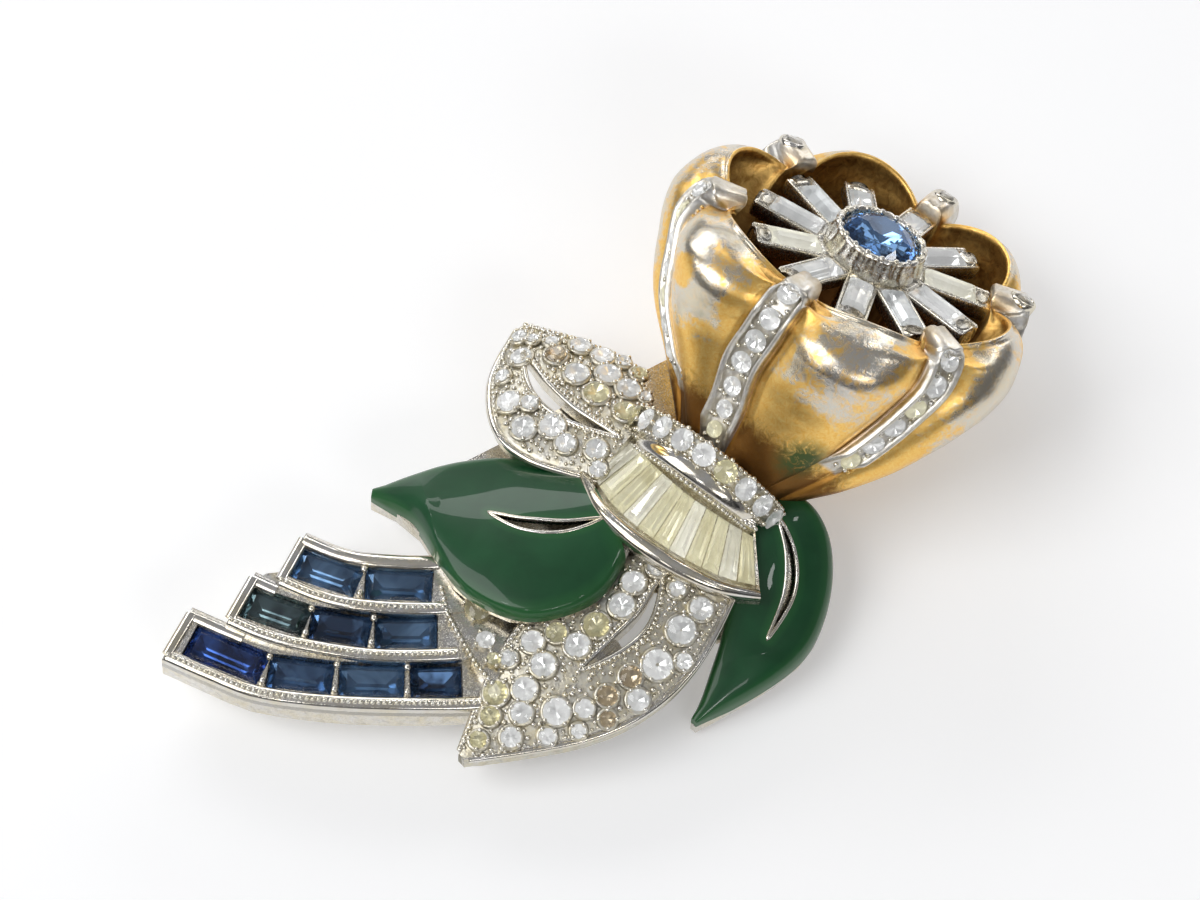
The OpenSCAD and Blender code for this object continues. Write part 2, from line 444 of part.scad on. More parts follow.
at() tail_stone(7);  // tail_stone_07
at() tail_stone(8);  // tail_stone_08
at() tail_stone(9);  // tail_stone_09
at() clip_lever();
at() hinge_pin();
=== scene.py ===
import math
import random

import bmesh
import bpy
import numpy as np
from mathutils import Matrix, Vector


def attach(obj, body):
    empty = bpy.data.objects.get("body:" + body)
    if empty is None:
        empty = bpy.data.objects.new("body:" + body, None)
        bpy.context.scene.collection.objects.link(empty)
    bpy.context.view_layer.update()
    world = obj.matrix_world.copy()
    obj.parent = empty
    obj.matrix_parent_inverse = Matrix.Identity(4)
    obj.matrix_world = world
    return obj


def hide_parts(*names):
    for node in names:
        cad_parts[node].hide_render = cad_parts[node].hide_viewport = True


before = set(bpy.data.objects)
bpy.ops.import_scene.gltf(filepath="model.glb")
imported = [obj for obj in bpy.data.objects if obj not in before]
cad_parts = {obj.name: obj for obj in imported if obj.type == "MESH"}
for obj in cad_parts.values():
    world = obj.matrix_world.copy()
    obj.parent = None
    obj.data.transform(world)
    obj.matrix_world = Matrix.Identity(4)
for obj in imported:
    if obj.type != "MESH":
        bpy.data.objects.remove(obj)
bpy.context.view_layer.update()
random.seed(7)
rng = np.random.default_rng(7)

# ------------------------------------------------------------------ sizes, millimetres
# The same tables as the part's: measured from the flower's mouth, moved by ORIGIN.
ORIGIN = np.array([21.22, 4.78, 0.0])
GAP = 0.06
CUP_WALL = 0.9
STRIP_W = 2.35
STRIP_H = 0.9
STAR_R = 7.6
COLLAR_H = 2.2
CENTRE_D = 4.8
TAIL_W = 2.05
TAIL_WALL = 0.85
LEAF_T = 1.1
ENAMEL_T = 0.5
AX, AY, AZ = -1.84, -1.22, 20.5
CUP = [
    [-16.8, 4.9, 12, 2.7, 2.5, 1.3, 0.0, -0.8],
    [-15.0, 5.6, 16, 3.4, 2.6, 2.0, 0.3, -1.0],
    [-12.2, 6.8, 25, 5.4, 3.4, 4.2, 0.8, -0.9],
    [-9.0, 8.0, 34, 7.8, 4.8, 8.3, 1.1, -0.2],
    [-6.0, 9.1, 43, 9.1, 6.4, 11.1, 1.2, 0.0],
    [-3.0, 10.2, 51, 10.0, 7.9, 11.1, 0.8, 0.2],
    [0.0, 11.2, 57, 9.8, 8.8, 10.1, 0.2, 0.3],
]
NECK = [
    [-16.8, 4.9, 12, 3.3, 2.9, 1.3, 0, 0],
    [-15.0, 5.6, 16, 3.8, 3.2, 2.0, 0, -0.1],
    [-12.2, 6.8, 25, 5.0, 4.2, 4.2, 0, -0.2],
]
# angle, start, end, turn at the neck
STRIPS = [[0, 0.19, 0.97, 24], [60, 0.3, 0.94, 12], [120, 0.34, 0.92, 0],
          [180, 0.42, 0.92, 0], [240, 0.34, 0.92, 0], [300, 0.36, 0.94, -14]]
FLOOR = 0.34
STAR_C, STAR_AZ, STAR_EL = [-1.79, -1.12, 9.55], 20.5, 58
RAYS, RAY_TURN, RAY_IN = 11, 3.7, 2.9
FAN_OUT = [[-22.9, -3.6, 6.5], [-23.5, -6.2, 7.6], [-23.2, -8.6, 8.0], [-22.4, -10.8, 8.0],
           [-21.3, -12.6, 7.6], [-19.9, -14.1, 6.9], [-18.0, -15.2, 5.9]]
FAN_IN = [[-18.9, -3.2, 6.8], [-18.6, -5.8, 7.6], [-18.1, -8.1, 7.8], [-17.2, -10.0, 7.4],
          [-16.2, -11.6, 6.6]]
FANS = 11
ROW_LONG = [[-47.85, 0.0, 3.9], [-46.2, -2.5, 4.0], [-44.6, -4.65, 4.1], [-41.5, -7.1, 4.2],
            [-38.0, -9.3, 4.2], [-34.6, -11.1, 4.0], [-31.5, -12.3, 3.9]]
ROW_MID = [[-43.7, -0.05, 4.4], [-42.5, -1.8, 4.4], [-41.0, -3.4, 4.45], [-38.1, -5.8, 4.5],
           [-34.6, -7.8, 4.5], [-31.5, -9.1, 4.4]]
ROW_SHORT = [[-39.95, 0.65, 4.5], [-38.6, -1.3, 4.55], [-37.0, -2.9, 4.7], [-33.9, -4.95, 4.8],
             [-31.0, -6.1, 4.7]]
# row, start, end, tint
TAIL = [[ROW_SHORT, 0.05, 0.46, 0], [ROW_SHORT, 0.495, 0.755, 0],
        [ROW_MID, 0.045, 0.385, 2], [ROW_MID, 0.40, 0.585, 1], [ROW_MID, 0.60, 0.775, 0],
        [ROW_LONG, 0.06, 0.325, 3], [ROW_LONG, 0.34, 0.495, 1], [ROW_LONG, 0.51, 0.66, 0],
        [ROW_LONG, 0.675, 0.80, 1]]
PAVE1_A = [[-17.3, -2.4, 6.3], [-16.5, 0.6, 5.8], [-17.2, 2.9, 5.5], [-18.6, 5.0, 5.2], [-20.4, 7.3, 4.7]]
PAVE1_B = [[-22.6, -4.6, 6.5], [-25.2, -1.4, 6.3], [-25.8, 1.5, 5.9], [-24.1, 4.9, 5.1], [-20.9, 7.3, 4.6]]
PAVE2_A = [[-19.2, -14.4, 5.4], [-21.4, -15.9, 5.1], [-23.3, -16.9, 4.7], [-25.6, -17.6, 4.3],
           [-28.2, -17.8, 4.0], [-31.0, -17.3, 3.6], [-34.0, -16.2, 3.3], [-37.4, -14.8, 3.1]]
PAVE2_B = [[-21.8, -9.2, 5.8], [-24.0, -9.4, 6.0], [-26.2, -9.6, 5.9], [-28.6, -9.7, 5.6],
           [-30.8, -9.9, 5.2], [-32.8, -10.8, 4.6], [-35.0, -12.3, 3.9], [-37.5, -14.3, 3.1]]
BIG_A = [[-23.4, -9.6, 7.1], [-26.0, -11.1, 7.2], [-28.6, -11.2, 7.3], [-31.0, -10.1, 7.1],
         [-32.7, -7.3, 6.6], [-33.0, -4.3, 6.2], [-32.9, -1.0, 5.4], [-33.9, 2.0, 4.3]]
BIG_B = [[-22.6, -4.0, 6.0], [-24.2, -1.8, 5.5], [-26.0, 0.1, 5.1], [-27.8, 1.2, 4.7],
         [-29.4, 1.8, 4.5], [-30.9, 2.1, 4.4], [-32.0, 2.3, 4.3], [-33.5, 2.5, 4.2]]
SMALL_A = [[-13.7, -9.4, 5.4], [-12.3, -11.3, 5.6], [-12.0, -13.3, 4.6], [-12.9, -15.4, 3.3],
           [-14.7, -17.3, 2.6], [-16.9, -18.6, 2.5], [-20.0, -19.1, 2.4], [-24.3, -18.9, 1.7]]
SMALL_B = [[-17.0, -11.2, 5.1], [-18.0, -12.4, 5.1], [-18.9, -13.6, 4.9], [-19.9, -14.8, 4.4],
           [-21.0, -15.9, 3.8], [-22.2, -16.9, 3.1], [-23.3, -17.8, 2.4], [-24.4, -18.5, 1.7]]
SLIT_PAVE1 = [[-21.8, 5.0], [-22.3, 2.6], [-21.9, 0.0], [-20.2, -3.2]]
SLIT_PAVE2 = [[-22.4, -11.6], [-24.6, -13.3], [-26.9, -13.9], [-29.4, -14.1]]
SLIT_BIG = [[-23.9, -7.4], [-26.2, -6.6], [-28.0, -5.2], [-29.2, -3.4]]
SLIT_SMALL = [[-14.6, -11.6], [-15.0, -13.8], [-16.2, -15.6], [-18.6, -17.2]]

# Paving stones of the upper leaf: along, across, radius, tint (0 clear, 1 straw, 2 brown)
PAVE1_STONES = [
    (.46, .34, .74, 0), (.34, .20, .74, 0), (.28, .37, .76, 1), (.20, .17, .72, 0), (.12, .31, .70, 1),
    (.12, .07, .62, 0), (.64, .34, .66, 2), (.74, .62, .66, 0), (.56, .84, .72, 0), (.47, .69, .74, 0),
    (.39, .86, .72, 0), (.29, .74, .76, 0), (.19, .80, .72, 0), (.09, .74, .64, 0), (.88, .60, .48, 0),
    (.62, .12, .62, 0), (.82, .40, .44, 0), (.47, .10, .66, 0), (.03, .17, .60, 1), (.74, .26, .42, 0),
    (.70, .84, .46, 0), (.03, .90, .50, 0), (.24, .03, .50, 1), (.36, .045, .42, 0)]
PAVE2_STONES = [
    (.60, .84, .66, 0), (.52, .78, .62, 1), (.51, .62, .74, 0), (.41, .66, .78, 1), (.30, .66, .74, 0),
    (.70, .90, .50, 0), (.64, .66, .74, 0), (.74, .62, .72, 0), (.81, .82, .74, 1), (.80, .46, .66, 0),
    (.87, .70, .58, 1), (.72, .30, .80, 0), (.65, .22, .56, 0), (.57, .22, .62, 2), (.47, .24, .66, 2),
    (.93, .54, .52, 1), (.87, .26, .60, 0), (.79, .12, .50, 0), (.71, .08, .44, 0), (.62, .08, .50, 2),
    (.51, .09, .66, 0), (.23, .23, .86, 0), (.38, .19, .90, 0), (.12, .20, .70, 0), (.20, .74, .70, 0),
    (.10, .70, .60, 0), (.31, .08, .50, 0), (.12, .45, .50, 0)]


# ------------------------------------------------------------------ geometry helpers
def along(T, x):
    T = np.asarray(T, float)
    n = len(T) - 1
    x = np.asarray(x, float)
    y = np.clip(x, 0, 1) * n
    i = np.minimum(np.floor(y).astype(int), n - 1)
    t = (y - i)[..., None]
    a, b, c, d = T[np.maximum(i - 1, 0)], T[i], T[i + 1], T[np.minimum(i + 2, n)]
    return 0.5 * (2 * b + (c - a) * t + (2 * a - 5 * b + 4 * c - d) * t * t + (3 * b - a - 3 * c + d) * t ** 3)


def unit(v):
    v = np.asarray(v, float)
    return v / np.maximum(np.linalg.norm(v, axis=-1, keepdims=True), 1e-12)


def sstep(a, b, x):
    t = np.clip((np.asarray(x, float) - a) / (b - a), 0, 1)
    return t * t * (3 - 2 * t)


def heading(T, x):
    d = along(T, np.minimum(1, np.asarray(x) + 0.02)) - along(T, np.maximum(0, np.asarray(x) - 0.02))
    return unit(d[..., :2])


def lens(T, w, n=24):
    s = np.linspace(0, 1, n + 1)
    p, h = along(T, s), heading(T, s)
    left = np.stack([-h[:, 1], h[:, 0]], -1)
    k = (w / 2 * np.sin(np.pi * s))[:, None]
    return np.concatenate([p + left * k, (p - left * k)[-2:0:-1]])


def inside(poly, p):
    x, y = p[..., 0], p[..., 1]
    r = np.zeros(x.shape, bool)
    for a, b in zip(poly, np.roll(poly, -1, axis=0)):
        if a[1] == b[1]:
            continue
        hit = (a[1] > y) != (b[1] > y)
        r ^= hit & (x < (b[0] - a[0]) * (y - a[1]) / (b[1] - a[1]) + a[0])
    return r


def resample(path, step, closed=False):
    p = np.asarray(path, float)
    if closed:
        p = np.concatenate([p, p[:1]])
    seg = np.linalg.norm(np.diff(p, axis=0), axis=1)
    s = np.concatenate([[0], np.cumsum(seg)])
    n = max(2, int(round(s[-1] / step)))
    q = np.linspace(0, s[-1], n + 1)
    out = np.stack([np.interp(q, s, p[:, k]) for k in range(p.shape[1])], -1)
    return out[:-1] if closed else out


class Build:
    """Collects faces in millimetres and makes one object of them."""

    def __init__(self):
        self.v, self.f, self.mat, self.smooth, self.n = [], [], [], [], 0
        self.attr = {}

    def add(self, v, f, mat=0, smooth=True, **attr):
        v = np.asarray(v, float).reshape(-1, 3)
        for k in set(self.attr) | set(attr):
            col = self.attr.setdefault(k, [np.zeros(self.n)] if self.n else [])
            val = attr.get(k, 0.0)
            col.append(np.broadcast_to(np.asarray(val, float).reshape(-1), (len(v),)).copy()
                       if np.ndim(val) else np.full(len(v), float(val)))
        self.v.append(v)
        o = self.n
        self.f += [tuple(i + o for i in q) for q in f]
        self.mat += list(mat) if isinstance(mat, (list, tuple)) else [mat] * len(f)
        self.smooth += [smooth] * len(f)
        self.n += len(v)

    def grid(self, P, closed_u=False, closed_v=False, keep=None, **kw):
        """P is rows x columns x 3; closed_v joins the last column to the first."""
        P = np.asarray(P, float)
        r, c = P.shape[:2]
        f = []
        for i in range(r if closed_u else r - 1):
            for j in range(c if closed_v else c - 1):
                if keep is not None and not keep[i, j]:
                    continue
                a, b = i * c + j, i * c + (j + 1) % c
                k, l = ((i + 1) % r) * c + j, ((i + 1) % r) * c + (j + 1) % c
                f.append((a, b, l, k))
        attr = {k: (v.reshape(-1) if isinstance(v, np.ndarray) else v) for k, v in kw.items()
                if k not in ("mat", "smooth")}
        self.add(P, f, kw.get("mat", 0), kw.get("smooth", True), **attr)

    def loft(self, rings, **kw):
        """Closed solid through rings of the same number of points, ends capped."""
        R = np.asarray(rings, float)
        self.grid(R, closed_v=True, **kw)
        m = R.shape[1]
        for ring, flip in ((R[0], True), (R[-1], False)):
            q = tuple(range(m))
            self.add(ring, [q[::-1] if flip else q], kw.get("mat", 0), False)

    def tube(self, path, r, m=8, closed=False, mat=0, squash=1.0, up=(0, 0, 1)):
        p = np.asarray(path, float)
        d = unit(np.roll(p, -1, 0) - np.roll(p, 1, 0)) if closed else unit(np.gradient(p, axis=0))
        s = unit(np.cross(d, np.asarray(up, float)))
        t = np.cross(s, d)
        r = np.broadcast_to(np.asarray(r, float), (len(p),))[:, None, None]
        a = np.linspace(0, 2 * np.pi, m, endpoint=False)
        ring = s[:, None] * np.cos(a)[None, :, None] * r + t[:, None] * np.sin(a)[None, :, None] * r * squash
        P = p[:, None] + ring
        self.grid(P, closed_u=closed, closed_v=True, mat=mat)
        if not closed:
            for k in (0, -1):
                self.add(P[k], [tuple(range(m))], mat, False)

    def beads(self, pts, r, mat=0):
        pts = np.asarray(pts, float).reshape(-1, 3)
        r = np.broadcast_to(np.asarray(r, float), (len(pts),))
        for p, q in zip(pts, r):
            self.add(p + ICO_V * q, ICO_F, mat)

    def make(self, name, mats, node=None, slot=None, keep_normals=False):
        me = bpy.data.meshes.new(name)
        v = (np.concatenate(self.v) + ORIGIN) / 1000.0
        me.from_pydata(v.tolist(), [], self.f)
        me.polygons.foreach_set("material_index", self.mat)
        me.polygons.foreach_set("use_smooth", self.smooth)
        for k, col in self.attr.items():
            a = me.attributes.new(k, "FLOAT", "POINT")
            a.data.foreach_set("value", np.concatenate(col))
        for m in mats:
            me.materials.append(m)
        if not keep_normals:
            bm = bmesh.new()
            bm.from_mesh(me)
            bmesh.ops.recalc_face_normals(bm, faces=bm.faces)
            bm.to_mesh(me)
            bm.free()
        me.update()
        o = bpy.data.objects.new(name, me)
        bpy.context.scene.collection.objects.link(o)
        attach(o, "clip_body")
        if node:
            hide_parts(*node)
        return o


def ico():
    bm = bmesh.new()
    bmesh.ops.create_icosphere(bm, subdivisions=2, radius=1.0)
    v = np.array([x.co[:] for x in bm.verts])
    f = [tuple(q.index for q in x.verts) for x in bm.faces]
    bm.free()
    return v, f


ICO_V, ICO_F = ico()


def frame_of(n, spin=0.0):
    n = unit(n)
    a = unit(np.cross(n, [0.3, 1.0, 0.1]))
    b = np.cross(n, a)
    c, s = math.cos(spin), math.sin(spin)
    return np.stack([a * c + b * s, b * c - a * s, n])


def round_gem(B, centre, normal, r, spin=0.0, mats=(0, 1), table=0.54, crown=0.34, pav=0.62, sides=8):
    """Brilliant with a glass crown and a foiled back; its girdle is at the centre."""
    M = frame_of(normal, spin)
    n = sides
    k = np.arange(n) * 2 * np.pi / n
    h = np.pi / n
    g = np.arange(2 * n) * np.pi / n

    def ring(a, rad, z):
        return np.stack([np.cos(a) * rad, np.sin(a) * rad, np.full(len(a), z)], -1) * r

    T, S = ring(k, table, crown), ring(k + h, 0.5 * (1 + table) + .02, crown * 0.62)
    G, H = ring(g, 1, 0.035), ring(g, 1, -0.035)
    L, C = ring(k + h, 0.62, -pav * 0.42), ring(np.zeros(1), 0.0, -pav)
    v = np.concatenate([T, S, G, H, L, C])
    t0, s0, g0, h0, l0, c0 = 0, n, 2 * n, 4 * n, 6 * n, 7 * n
    f = [tuple(range(n))]
    m = [mats[0]]
    for i in range(n):
        j, p = (i + 1) % n, (i - 1) % n
        a, b, c = 2 * i, 2 * i + 1, (2 * i + 2) % (2 * n)
        for q, w in (((t0 + i, s0 + i, t0 + j), 0), ((t0 + i, s0 + p, g0 + a, s0 + i), 0),
                     ((s0 + i, g0 + a, g0 + b), 0), ((s0 + i, g0 + b, g0 + c), 0),
                     ((g0 + a, h0 + a, h0 + b, g0 + b), 0), ((g0 + b, h0 + b, h0 + c, g0 + c), 0),
                     ((h0 + a, l0 + i, h0 + b), 1), ((h0 + b, l0 + i, h0 + c), 1),
                     ((h0 + a, l0 + p, c0, l0 + i), 1)):
            f.append(q)
            m.append(mats[w])
    B.add(np.asarray(centre) + v @ M, f, m, False)


def inset(quad, d):
    """Corners moved inwards by d along both edges, in the quad's own plane."""
    q = np.asarray(quad, float)
    out = []
    for i in range(len(q)):
        a, b, c = q[i - 1], q[i], q[(i + 1) % len(q)]
        u, w = unit(a - b), unit(c - b)
        s = max(0.3, np.linalg.norm(np.cross(u, w)))
        out.append(b + (u + w) * d / s)
    return np.array(out)


def step_gem(B, quad, up, crown=((0.16, 0.16), (0.36, 0.30)), girdle=0.12, pav=((0.3, 0.35),), keel=0.6, mats=(0, 1),
             jitter=0.0):
    """Step-cut stone on a girdle of four corners: glass above, foil below."""
    q, up = np.asarray(quad, float), unit(up)
    n = len(q)
    rings = [inset(q, crown[-1][0]) + up * crown[-1][1]]
    for d, z in reversed(crown[:-1]):
        rings.append(inset(q, d) + up * z)
    rings += [q, q - up * girdle]
    top = len(rings) - 1
    for d, z in pav:
        rings.append(inset(q, d) - up * (girdle + z))
    l01, l12 = np.linalg.norm(q[1] - q[0]), np.linalg.norm(q[2] - q[1])
    if l01 >= l12:
        a, b = (q[0] + q[3]) / 2, (q[1] + q[2]) / 2
        pair = (0, 1, 1, 0)
    else:
        a, b = (q[0] + q[1]) / 2, (q[3] + q[2]) / 2
        pair = (0, 0, 1, 1)
    e = unit(b - a)
    short = min(l01, l12)
    ka, kb = a + e * short * 0.5 - up * (girdle + keel), b - e * short * 0.5 - up * (girdle + keel)
    v = np.concatenate(rings + [[ka, kb]])
    f, m = [tuple(range(n))], [mats[0]]
    for i in range(len(rings) - 1):
        for j in range(n):
            k = (j + 1) % n
            f.append((i * n + j, i * n + k, (i + 1) * n + k, (i + 1) * n + j))
            m.append(mats[0] if i < top else mats[1])
    o, kk = (len(rings) - 1) * n, len(rings) * n
    for j in range(n):
        k = (j + 1) % n
        p, r = pair[j], pair[k]
        f.append((o + j, o + k, kk + r, kk + p) if p != r else (o + j, o + k, kk + p))
        m.append(mats[1])
    B.add(v, f, m, False)


# ------------------------------------------------------------------ materials
class Mat:
    def __init__(self, name):
        self.m = bpy.data.materials.new(name)
        self.m.use_nodes = True
        self.t = self.m.node_tree
        self.t.nodes.clear()
        self.out = self.t.nodes.new("ShaderNodeOutputMaterial")
        self.b = self.t.nodes.new("ShaderNodeBsdfPrincipled")
        self.t.links.new(self.b.outputs[0], self.out.inputs[0])
        tc = self.t.nodes.new("ShaderNodeTexCoord")
        sc = self.t.nodes.new("ShaderNodeVectorMath")
        sc.operation = "SCALE"
        sc.inputs[3].default_value = 1000.0
        self.t.links.new(tc.outputs["Object"], sc.inputs[0])
        self.mm = sc.outputs[0]

    def set(self, **kw):
        for k, v in kw.items():
            s = self.b.inputs[k.replace("_", " ")]
            if hasattr(v, "is_output"):
                self.t.links.new(v, s)
            else:
                s.default_value = (*v, 1.0) if isinstance(v, tuple) and len(v) == 3 else v
        return self

    def put(self, sock, v):
        if hasattr(v, "is_output"):
            self.t.links.new(v, sock)
        else:
            sock.default_value = (*v, 1.0) if isinstance(v, tuple) and len(v) == 3 else v

    def noise(self, scale, detail=3.0, rough=0.55, distort=0.0, offset=(0, 0, 0), stretch=None):
        n = self.t.nodes.new("ShaderNodeTexNoise")
        mp = self.t.nodes.new("ShaderNodeMapping")
        mp.inputs["Location"].default_value = offset
        if stretch:
            mp.inputs["Scale"].default_value = stretch
        self.t.links.new(self.mm, mp.inputs["Vector"])
        self.t.links.new(mp.outputs[0], n.inputs["Vector"])
        n.inputs["Scale"].default_value = scale
        n.inputs["Detail"].default_value = detail
        n.inputs["Roughness"].default_value = rough
        n.inputs["Distortion"].default_value = distort
        return n.outputs[0]

    def ramp(self, fac, stops, ease=False):
        r = self.t.nodes.new("ShaderNodeValToRGB")
        r.color_ramp.interpolation = "EASE" if ease else "LINEAR"
        e = r.color_ramp.elements
        while len(e) < len(stops):
            e.new(0.5)
        for el, (p, c) in zip(e, stops):
            el.position = p
            el.color = (c, c, c, 1) if isinstance(c, (int, float)) else (*c, 1)
        self.t.links.new(fac, r.inputs[0])
        return r.outputs[0]

    def mix(self, fac, a, b, mode="MIX"):
        x = self.t.nodes.new("ShaderNodeMix")
        x.data_type = "RGBA"
        x.blend_type = mode
        self.put(x.inputs[0], fac)
        self.put(x.inputs[6], a)
        self.put(x.inputs[7], b)
        return x.outputs[2]

    def math(self, op, a, b=0.0, c=0.0, clamp=False):
        x = self.t.nodes.new("ShaderNodeMath")
        x.operation = op
        x.use_clamp = clamp
        for s, v in zip(x.inputs, (a, b, c)):
            self.put(s, v)
        return x.outputs[0]

    def attr(self, name):
        a = self.t.nodes.new("ShaderNodeAttribute")
        a.attribute_name = name
        return a.outputs["Fac"]

    def spot(self, centre, r0, r1):
        """1 inside r0 millimetres of a place, 0 beyond r1."""
        d = self.t.nodes.new("ShaderNodeVectorMath")
        d.operation = "DISTANCE"
        self.t.links.new(self.mm, d.inputs[0])
        d.inputs[1].default_value = tuple(np.asarray(centre, float) + ORIGIN)
        return self.ramp(self.math("DIVIDE", d.outputs["Value"], r1), [(r0 / r1, 1.0), (1.0, 0.0)], True)

    def bump(self, h, strength, distance=0.0001):
        b = self.t.nodes.new("ShaderNodeBump")
        b.inputs["Strength"].default_value = strength
        b.inputs["Distance"].default_value = distance
        self.t.links.new(h, b.inputs["Height"])
        self.t.links.new(b.outputs[0], self.b.inputs["Normal"])
        return self


def silver(name, tone=(0.72, 0.70, 0.66), warm=(0.72, 0.66, 0.52), rough=(0.16, 0.34), bumpy=0.25, scale=0.9,
           dirt=0.35):
    m = Mat(name)
    a, f = m.noise(scale, 5, 0.6, 0.4), m.noise(6.0, 3, 0.6, 0.0, (3, 1, 2))
    col = m.mix(m.ramp(a, [(0.38, 0.0), (0.66, 1.0)]), tone, warm)
    dark = m.ramp(m.noise(2.3, 6, 0.65, 0.6, (9, 4, 1)), [(0.30, dirt), (0.50, 0.0)])
    col = m.mix(dark, col, (0.30, 0.27, 0.22))
    m.set(Base_Color=col, Metallic=1.0, Roughness=m.ramp(f, [(0.3, rough[0]), (0.7, rough[1])]))
    return m.bump(m.noise(5.0, 4, 0.6, 0.2, (1, 7, 3)), bumpy, 0.00006).m


SILVER = silver("aged_silver")
SILVER_SOFT = silver("aged_silver_smooth", rough=(0.12, 0.22), bumpy=0.10, scale=0.5, dirt=0.15)
SILVER_BEAD = silver("aged_silver_beads", tone=(0.78, 0.76, 0.71), warm=(0.78, 0.72, 0.56), rough=(0.18, 0.32),
                     bumpy=0.1, dirt=0.3)
SILVER_PAVE = silver("aged_silver_between_stones", tone=(0.64, 0.62, 0.56), warm=(0.66, 0.60, 0.44),
                     rough=(0.25, 0.45), bumpy=0.7, scale=1.4, dirt=0.6)
SILVER_BACK = silver("aged_silver_back", tone=(0.66, 0.65, 0.62), rough=(0.22, 0.40), bumpy=0.3)


def gilt():
    m = Mat("worn_gilt")
    bulge, neck, strip, seam = m.attr("bulge"), m.attr("neck"), m.attr("strip"), m.attr("seam")
    inner = m.attr("inner")
    big = m.noise(0.28, 4, 0.6, 0.8, (2, 5, 1))
    fine = m.noise(1.6, 7, 0.7, 0.9, (7, 2, 4))
    vein = m.noise(3.4, 6, 0.65, 1.4, (1, 3, 8))
    # where the gold has gone: high on the bulge, broken up by blotches
    w = m.math("ADD", m.math("MULTIPLY", bulge, 0.85), m.math("MULTIPLY", m.math("SUBTRACT", big, 0.5), 1.7))
    w = m.math("ADD", w, m.math("MULTIPLY", m.math("SUBTRACT", fine, 0.5), 1.1))
    w = m.math("SUBTRACT", w, m.math("MULTIPLY", seam, 0.4))
    w = m.math("SUBTRACT", w, m.math("MULTIPLY", neck, 0.6))
    w = m.math("SUBTRACT", w, m.math("MULTIPLY", m.spot((-13.12, 1.05, 14.23), 0.5, 1.5), 1.1))
    worn = m.ramp(w, [(0.44, 0.0), (0.80, 1.0)], True)
    gold = m.mix(m.ramp(vein, [(0.35, 0.0), (0.7, 1.0)]), (0.88, 0.50, 0.11), (0.96, 0.68, 0.24))
    grey = m.mix(m.ramp(big, [(0.4, 0.0), (0.7, 1.0)]), (0.64, 0.62, 0.58), (0.70, 0.63, 0.48))
    col = m.mix(worn, gold, grey)
    # brown tarnish towards the neck and along the lower edges
    t = m.math("ADD", m.math("MULTIPLY", neck, 1.25), m.math("MULTIPLY", m.math("SUBTRACT", fine, 0.5), 0.9))
    tarn = m.ramp(t, [(0.46, 0.0), (0.95, 0.92)], True)
    col = m.mix(tarn, col, (0.17, 0.07, 0.018))
    crease = m.ramp(m.math("ADD", m.math("MULTIPLY", seam, 0.8), m.math("MULTIPLY", fine, 0.5)), [(0.62, 0.0), (1.1, 0.8)], True)
    col = m.mix(crease, col, (0.42, 0.20, 0.04))
    pit = m.math("MULTIPLY", m.spot((-13.12, 1.05, 14.23), 0.1, 0.9), m.ramp(vein, [(0.42, 0.0), (0.6, 0.8)]))
    col = m.mix(pit, col, (0.36, 0.17, 0.04))
    # green bloom low on the petal nearest the viewer
    bloom = m.math("MULTIPLY", m.spot(VERDIGRIS, 0.7, 2.3), m.ramp(fine, [(0.32, 0.0), (0.50, 1.0)]))
    col = m.mix(bloom, col, (0.05, 0.085, 0.012))
    ins = m.mix(m.ramp(fine, [(0.35, 0.0), (0.62, 1.0)]), (0.50, 0.25, 0.06), (0.95, 0.62, 0.20))
    # painted shade: deeper inside the cup the gold darkens to near-black brown, by the deep attribute
    ins = m.mix(m.attr("deep"), ins, (0.16, 0.065, 0.018))
    col = m.mix(inner, col, ins)
    rim_gold = m.math("MULTIPLY", m.attr("lip"), 0.9)
    st = m.mix(m.ramp(m.noise(2.2, 5, 0.6, 0.5), [(0.4, 0.0), (0.66, 1.0)]), (0.74, 0.72, 0.68), (0.60, 0.55, 0.45))
    col = m.mix(strip, col, st)
    col = m.mix(rim_gold, col, st)
    col = m.mix(m.math("MULTIPLY", m.math("MULTIPLY", worn, m.math("SUBTRACT", 1.0, strip)), m.ramp(vein, [(0.50, 0.0), (0.68, 0.55)])), col,
                (0.86, 0.58, 0.24))
    rough = m.mix(worn, (0.30, 0.30, 0.30), (0.19, 0.19, 0.19))
    rough = m.mix(m.math("MAXIMUM", m.math("MAXIMUM", tarn, bloom), inner), rough, (0.42, 0.42, 0.42))
    rough = m.mix(m.math("MULTIPLY", fine, 0.35), rough, (0.5, 0.5, 0.5))
    metal = m.math("SUBTRACT", 1.0, m.math("MULTIPLY", bloom, 0.7))
    m.set(Base_Color=col, Metallic=metal, Roughness=rough)
    h = m.math("ADD", m.math("MULTIPLY", fine, 0.5), m.math("MULTIPLY", m.noise(0.9, 2, 0.5, 0.2), 0.9))
    return m.bump(h, 0.30, 0.00012).m


VERDIGRIS = (-12.85, -11.09, 9.66)
GILT = gilt()


def rope_gold():
    m = Mat("gilt_beads")
    a = m.noise(1.2, 4, 0.6, 0.5)
    m.set(Base_Color=m.mix(m.ramp(a, [(0.42, 0.0), (0.62, 1.0)]), (0.80, 0.52, 0.16), (0.62, 0.56, 0.42)),
          Metallic=1.0, Roughness=0.28)
    return m.m


GOLD_BEAD = rope_gold()


def glass(name, tint, rough=0.0, ior=1.56):
    m = Mat(name)
    m.set(Base_Color=tint, Transmission_Weight=1.0, Roughness=rough, IOR=ior)
    return m.m


